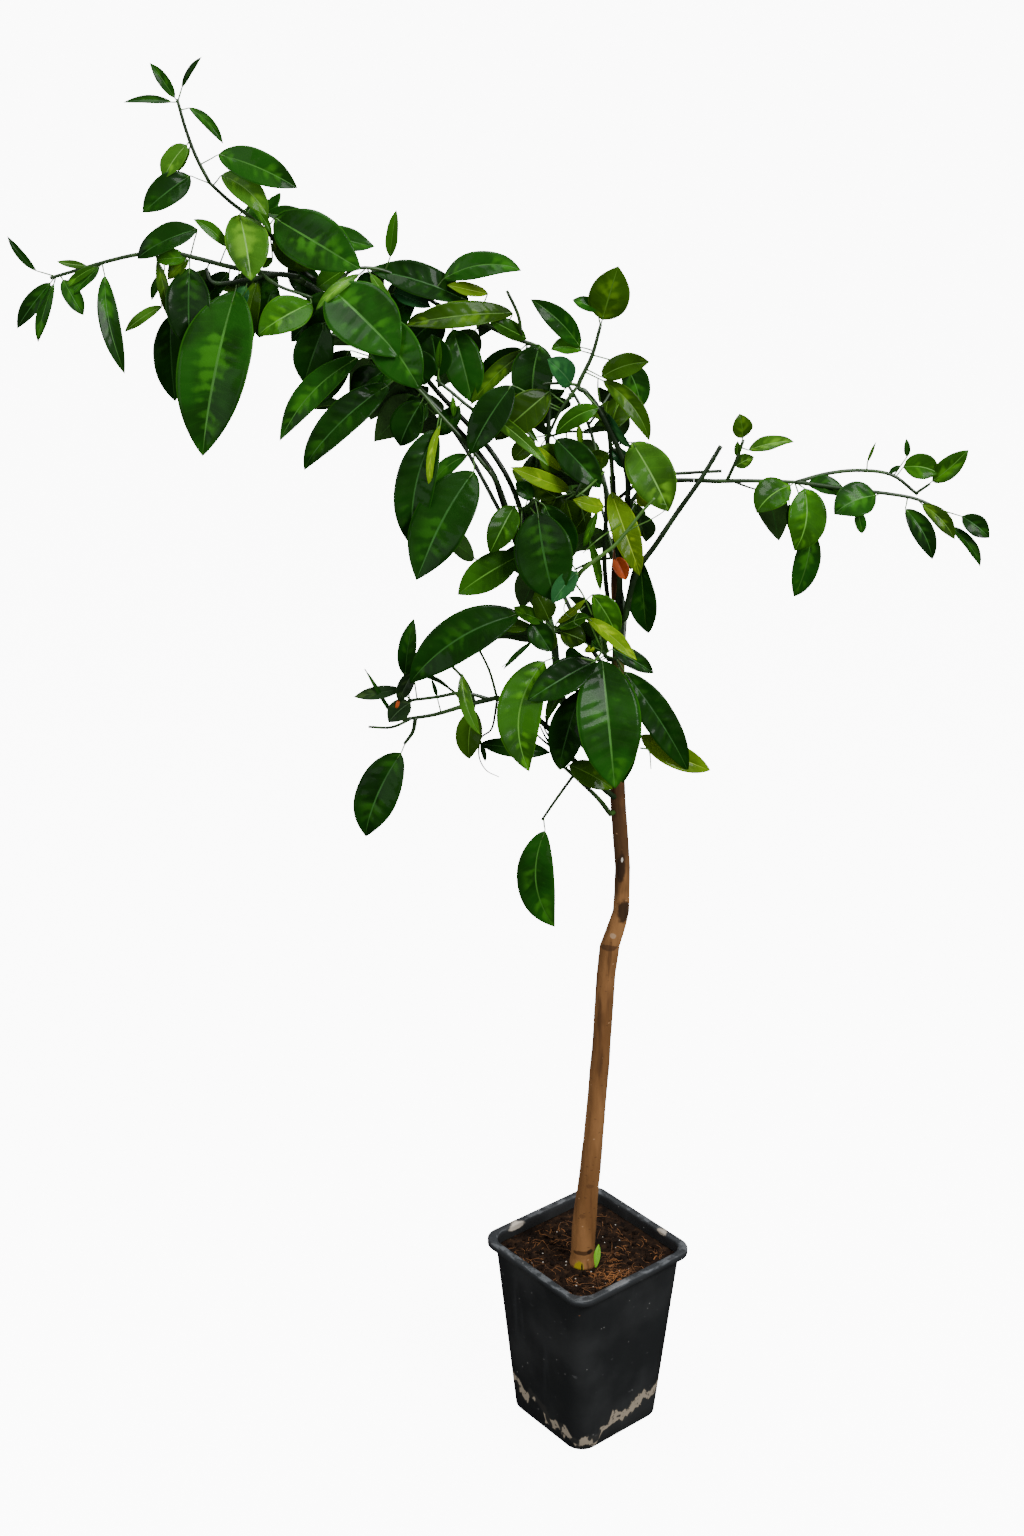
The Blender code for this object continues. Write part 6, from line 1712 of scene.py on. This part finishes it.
def fibre(place, heading, foot, chance):
    """A curved coir fibre that lies on the soil with its ends pressed in."""
    long = chance.uniform(*FIBRE_LONG)
    turn = chance.uniform(-2.4, 2.4)
    rise = chance.uniform(0.3, 2.2) * MM
    half = chance.uniform(*FIBRE_HALF)
    points = []
    for k in range(8):
        share = k / 7
        points.append(Vector((place[0], place[1], 0)))
        points[-1].z = soil_height(place[0], place[1], foot) + rise * math.sin(math.pi * share) - 0.2 * MM
        step = heading + turn * share
        place = (place[0] + math.cos(step) * long / 7, place[1] + math.sin(step) * long / 7)
    return tube_body(points, [half * (1 - 0.5 * k / 7) for k in range(8)], 4)


def make_litter(foot):
    """Clods, coir fibres and white grains strewn over the soil, most fibres at the right front."""
    chance = random.Random(SEED)
    turned = Matrix.Rotation(POT_TURN, 3, "Z")
    fibres, clods, grains = Gathered(), Gathered(), Gathered()
    for _ in range(FIBRES):
        place = turned @ Vector((chance.uniform(-6, 6) * CM, chance.uniform(-6, 6) * CM, 0))
        if chance.random() < 0.35:
            place = Vector((chance.gauss(2.6, 1.5) * CM, chance.gauss(-4.0, 1.2) * CM, 0))
        laid, faces = fibre((place.x, place.y), chance.uniform(0, 6.3), foot, chance)
        inside = [turned.inverted() @ point for point in laid]
        off_trunk = min((point - foot).to_2d().length for point in laid)
        if max(max(abs(point.x), abs(point.y)) for point in inside) < LITTER_HALF and off_trunk > 1.5 * CM:
            fibres.add(laid, faces)
    for _ in range(CLODS):
        place = turned @ Vector((chance.uniform(-6, 6) * CM, chance.uniform(-6, 6) * CM, 0))
        if (place - foot).to_2d().length > 1.7 * CM:
            place.z = soil_height(place.x, place.y, foot)
            clods.add(*pebble(place, chance.uniform(1.0, 2.8) * MM, chance))
    for _ in range(GRAINS):
        place = turned @ Vector((chance.uniform(-5.5, 5.5) * CM, chance.uniform(-5.5, 5.5) * CM, 0))
        place.z = soil_height(place.x, place.y, foot) + 0.3 * MM
        grains.add(*pebble(place, chance.uniform(0.5, 0.9) * MM, chance))
    straw = drifting("coir_fibre", (0.210, 0.082, 0.022), 0.6, 60.0, 0.8, 0.3, 1500.0)
    crumb = drifting("soil_crumb", (0.0110, 0.0052, 0.0026), 0.5, 90.0, 0.95, 0.6, 900.0, Specular_IOR_Level=0.15)
    white = drifting("white_grain", (0.500, 0.470, 0.410), 0.2, 90.0, 0.8, 0.3, 1500.0)
    for name, pieces, look in (("fibres", fibres, straw), ("clods", clods, crumb), ("grains", grains, white)):
        mesh_piece(f"soil_{name}", pieces.verts, pieces.faces, [look], slot="soil")


def soil_look():
    look = Look("potting_soil", (0.0120, 0.0058, 0.0030), 0.95, Specular_IOR_Level=0.15)
    look.lay((0.0300, 0.0145, 0.0065), look.mask(look.noise(120), 0.46, 0.68))
    look.lay((0.0800, 0.0330, 0.0110), look.mask(look.noise(300, detail=6.0), 0.58, 0.74, 0.7))
    look.lay((0.0040, 0.0025, 0.0018), look.mask(look.noise(85), 0.56, 0.7, 0.85))
    look.lay((0.1500, 0.0620, 0.0190), look.spot((3.2 * CM, -4.6 * CM, SOIL_TOP), (3.4 * CM, 2.6 * CM, 2 * CM), 0.08))
    look.lay((0.2600, 0.1700, 0.0900), look.mask(look.grains(160), 0.07, 0.04, 0.8))
    look.relief(look.noise(330, detail=7.0), 1.0, 1.2 * MM)
    look.relief(look.grains(420), 0.8, 0.6 * MM)
    return look.done()


camera_and_light()
make_studio()
limbs = grow_limbs()
make_wood(limbs)
make_foliage(limbs)
make_oddments({
    "dark": cane_look("dark_stem", (0.008, 0.022, 0.005), (0.020, 0.060, 0.010), (0.060, 0.090, 0.030)),
    "light": cane_look("light_stem", (0.045, 0.120, 0.014), (0.080, 0.190, 0.025), (0.150, 0.220, 0.060)),
    "brown": cane_look("torn_bark", (0.050, 0.020, 0.006), (0.130, 0.045, 0.012), (0.230, 0.090, 0.025)),
    "orange": cane_look("orange_bark", (0.330, 0.050, 0.003), (0.480, 0.085, 0.005), (0.180, 0.030, 0.004)),
    "sprout": cane_look("sprout_green", (0.130, 0.380, 0.004), (0.200, 0.480, 0.010), (0.260, 0.500, 0.040)),
})
make_pot()
make_soil(limbs["trunk"])
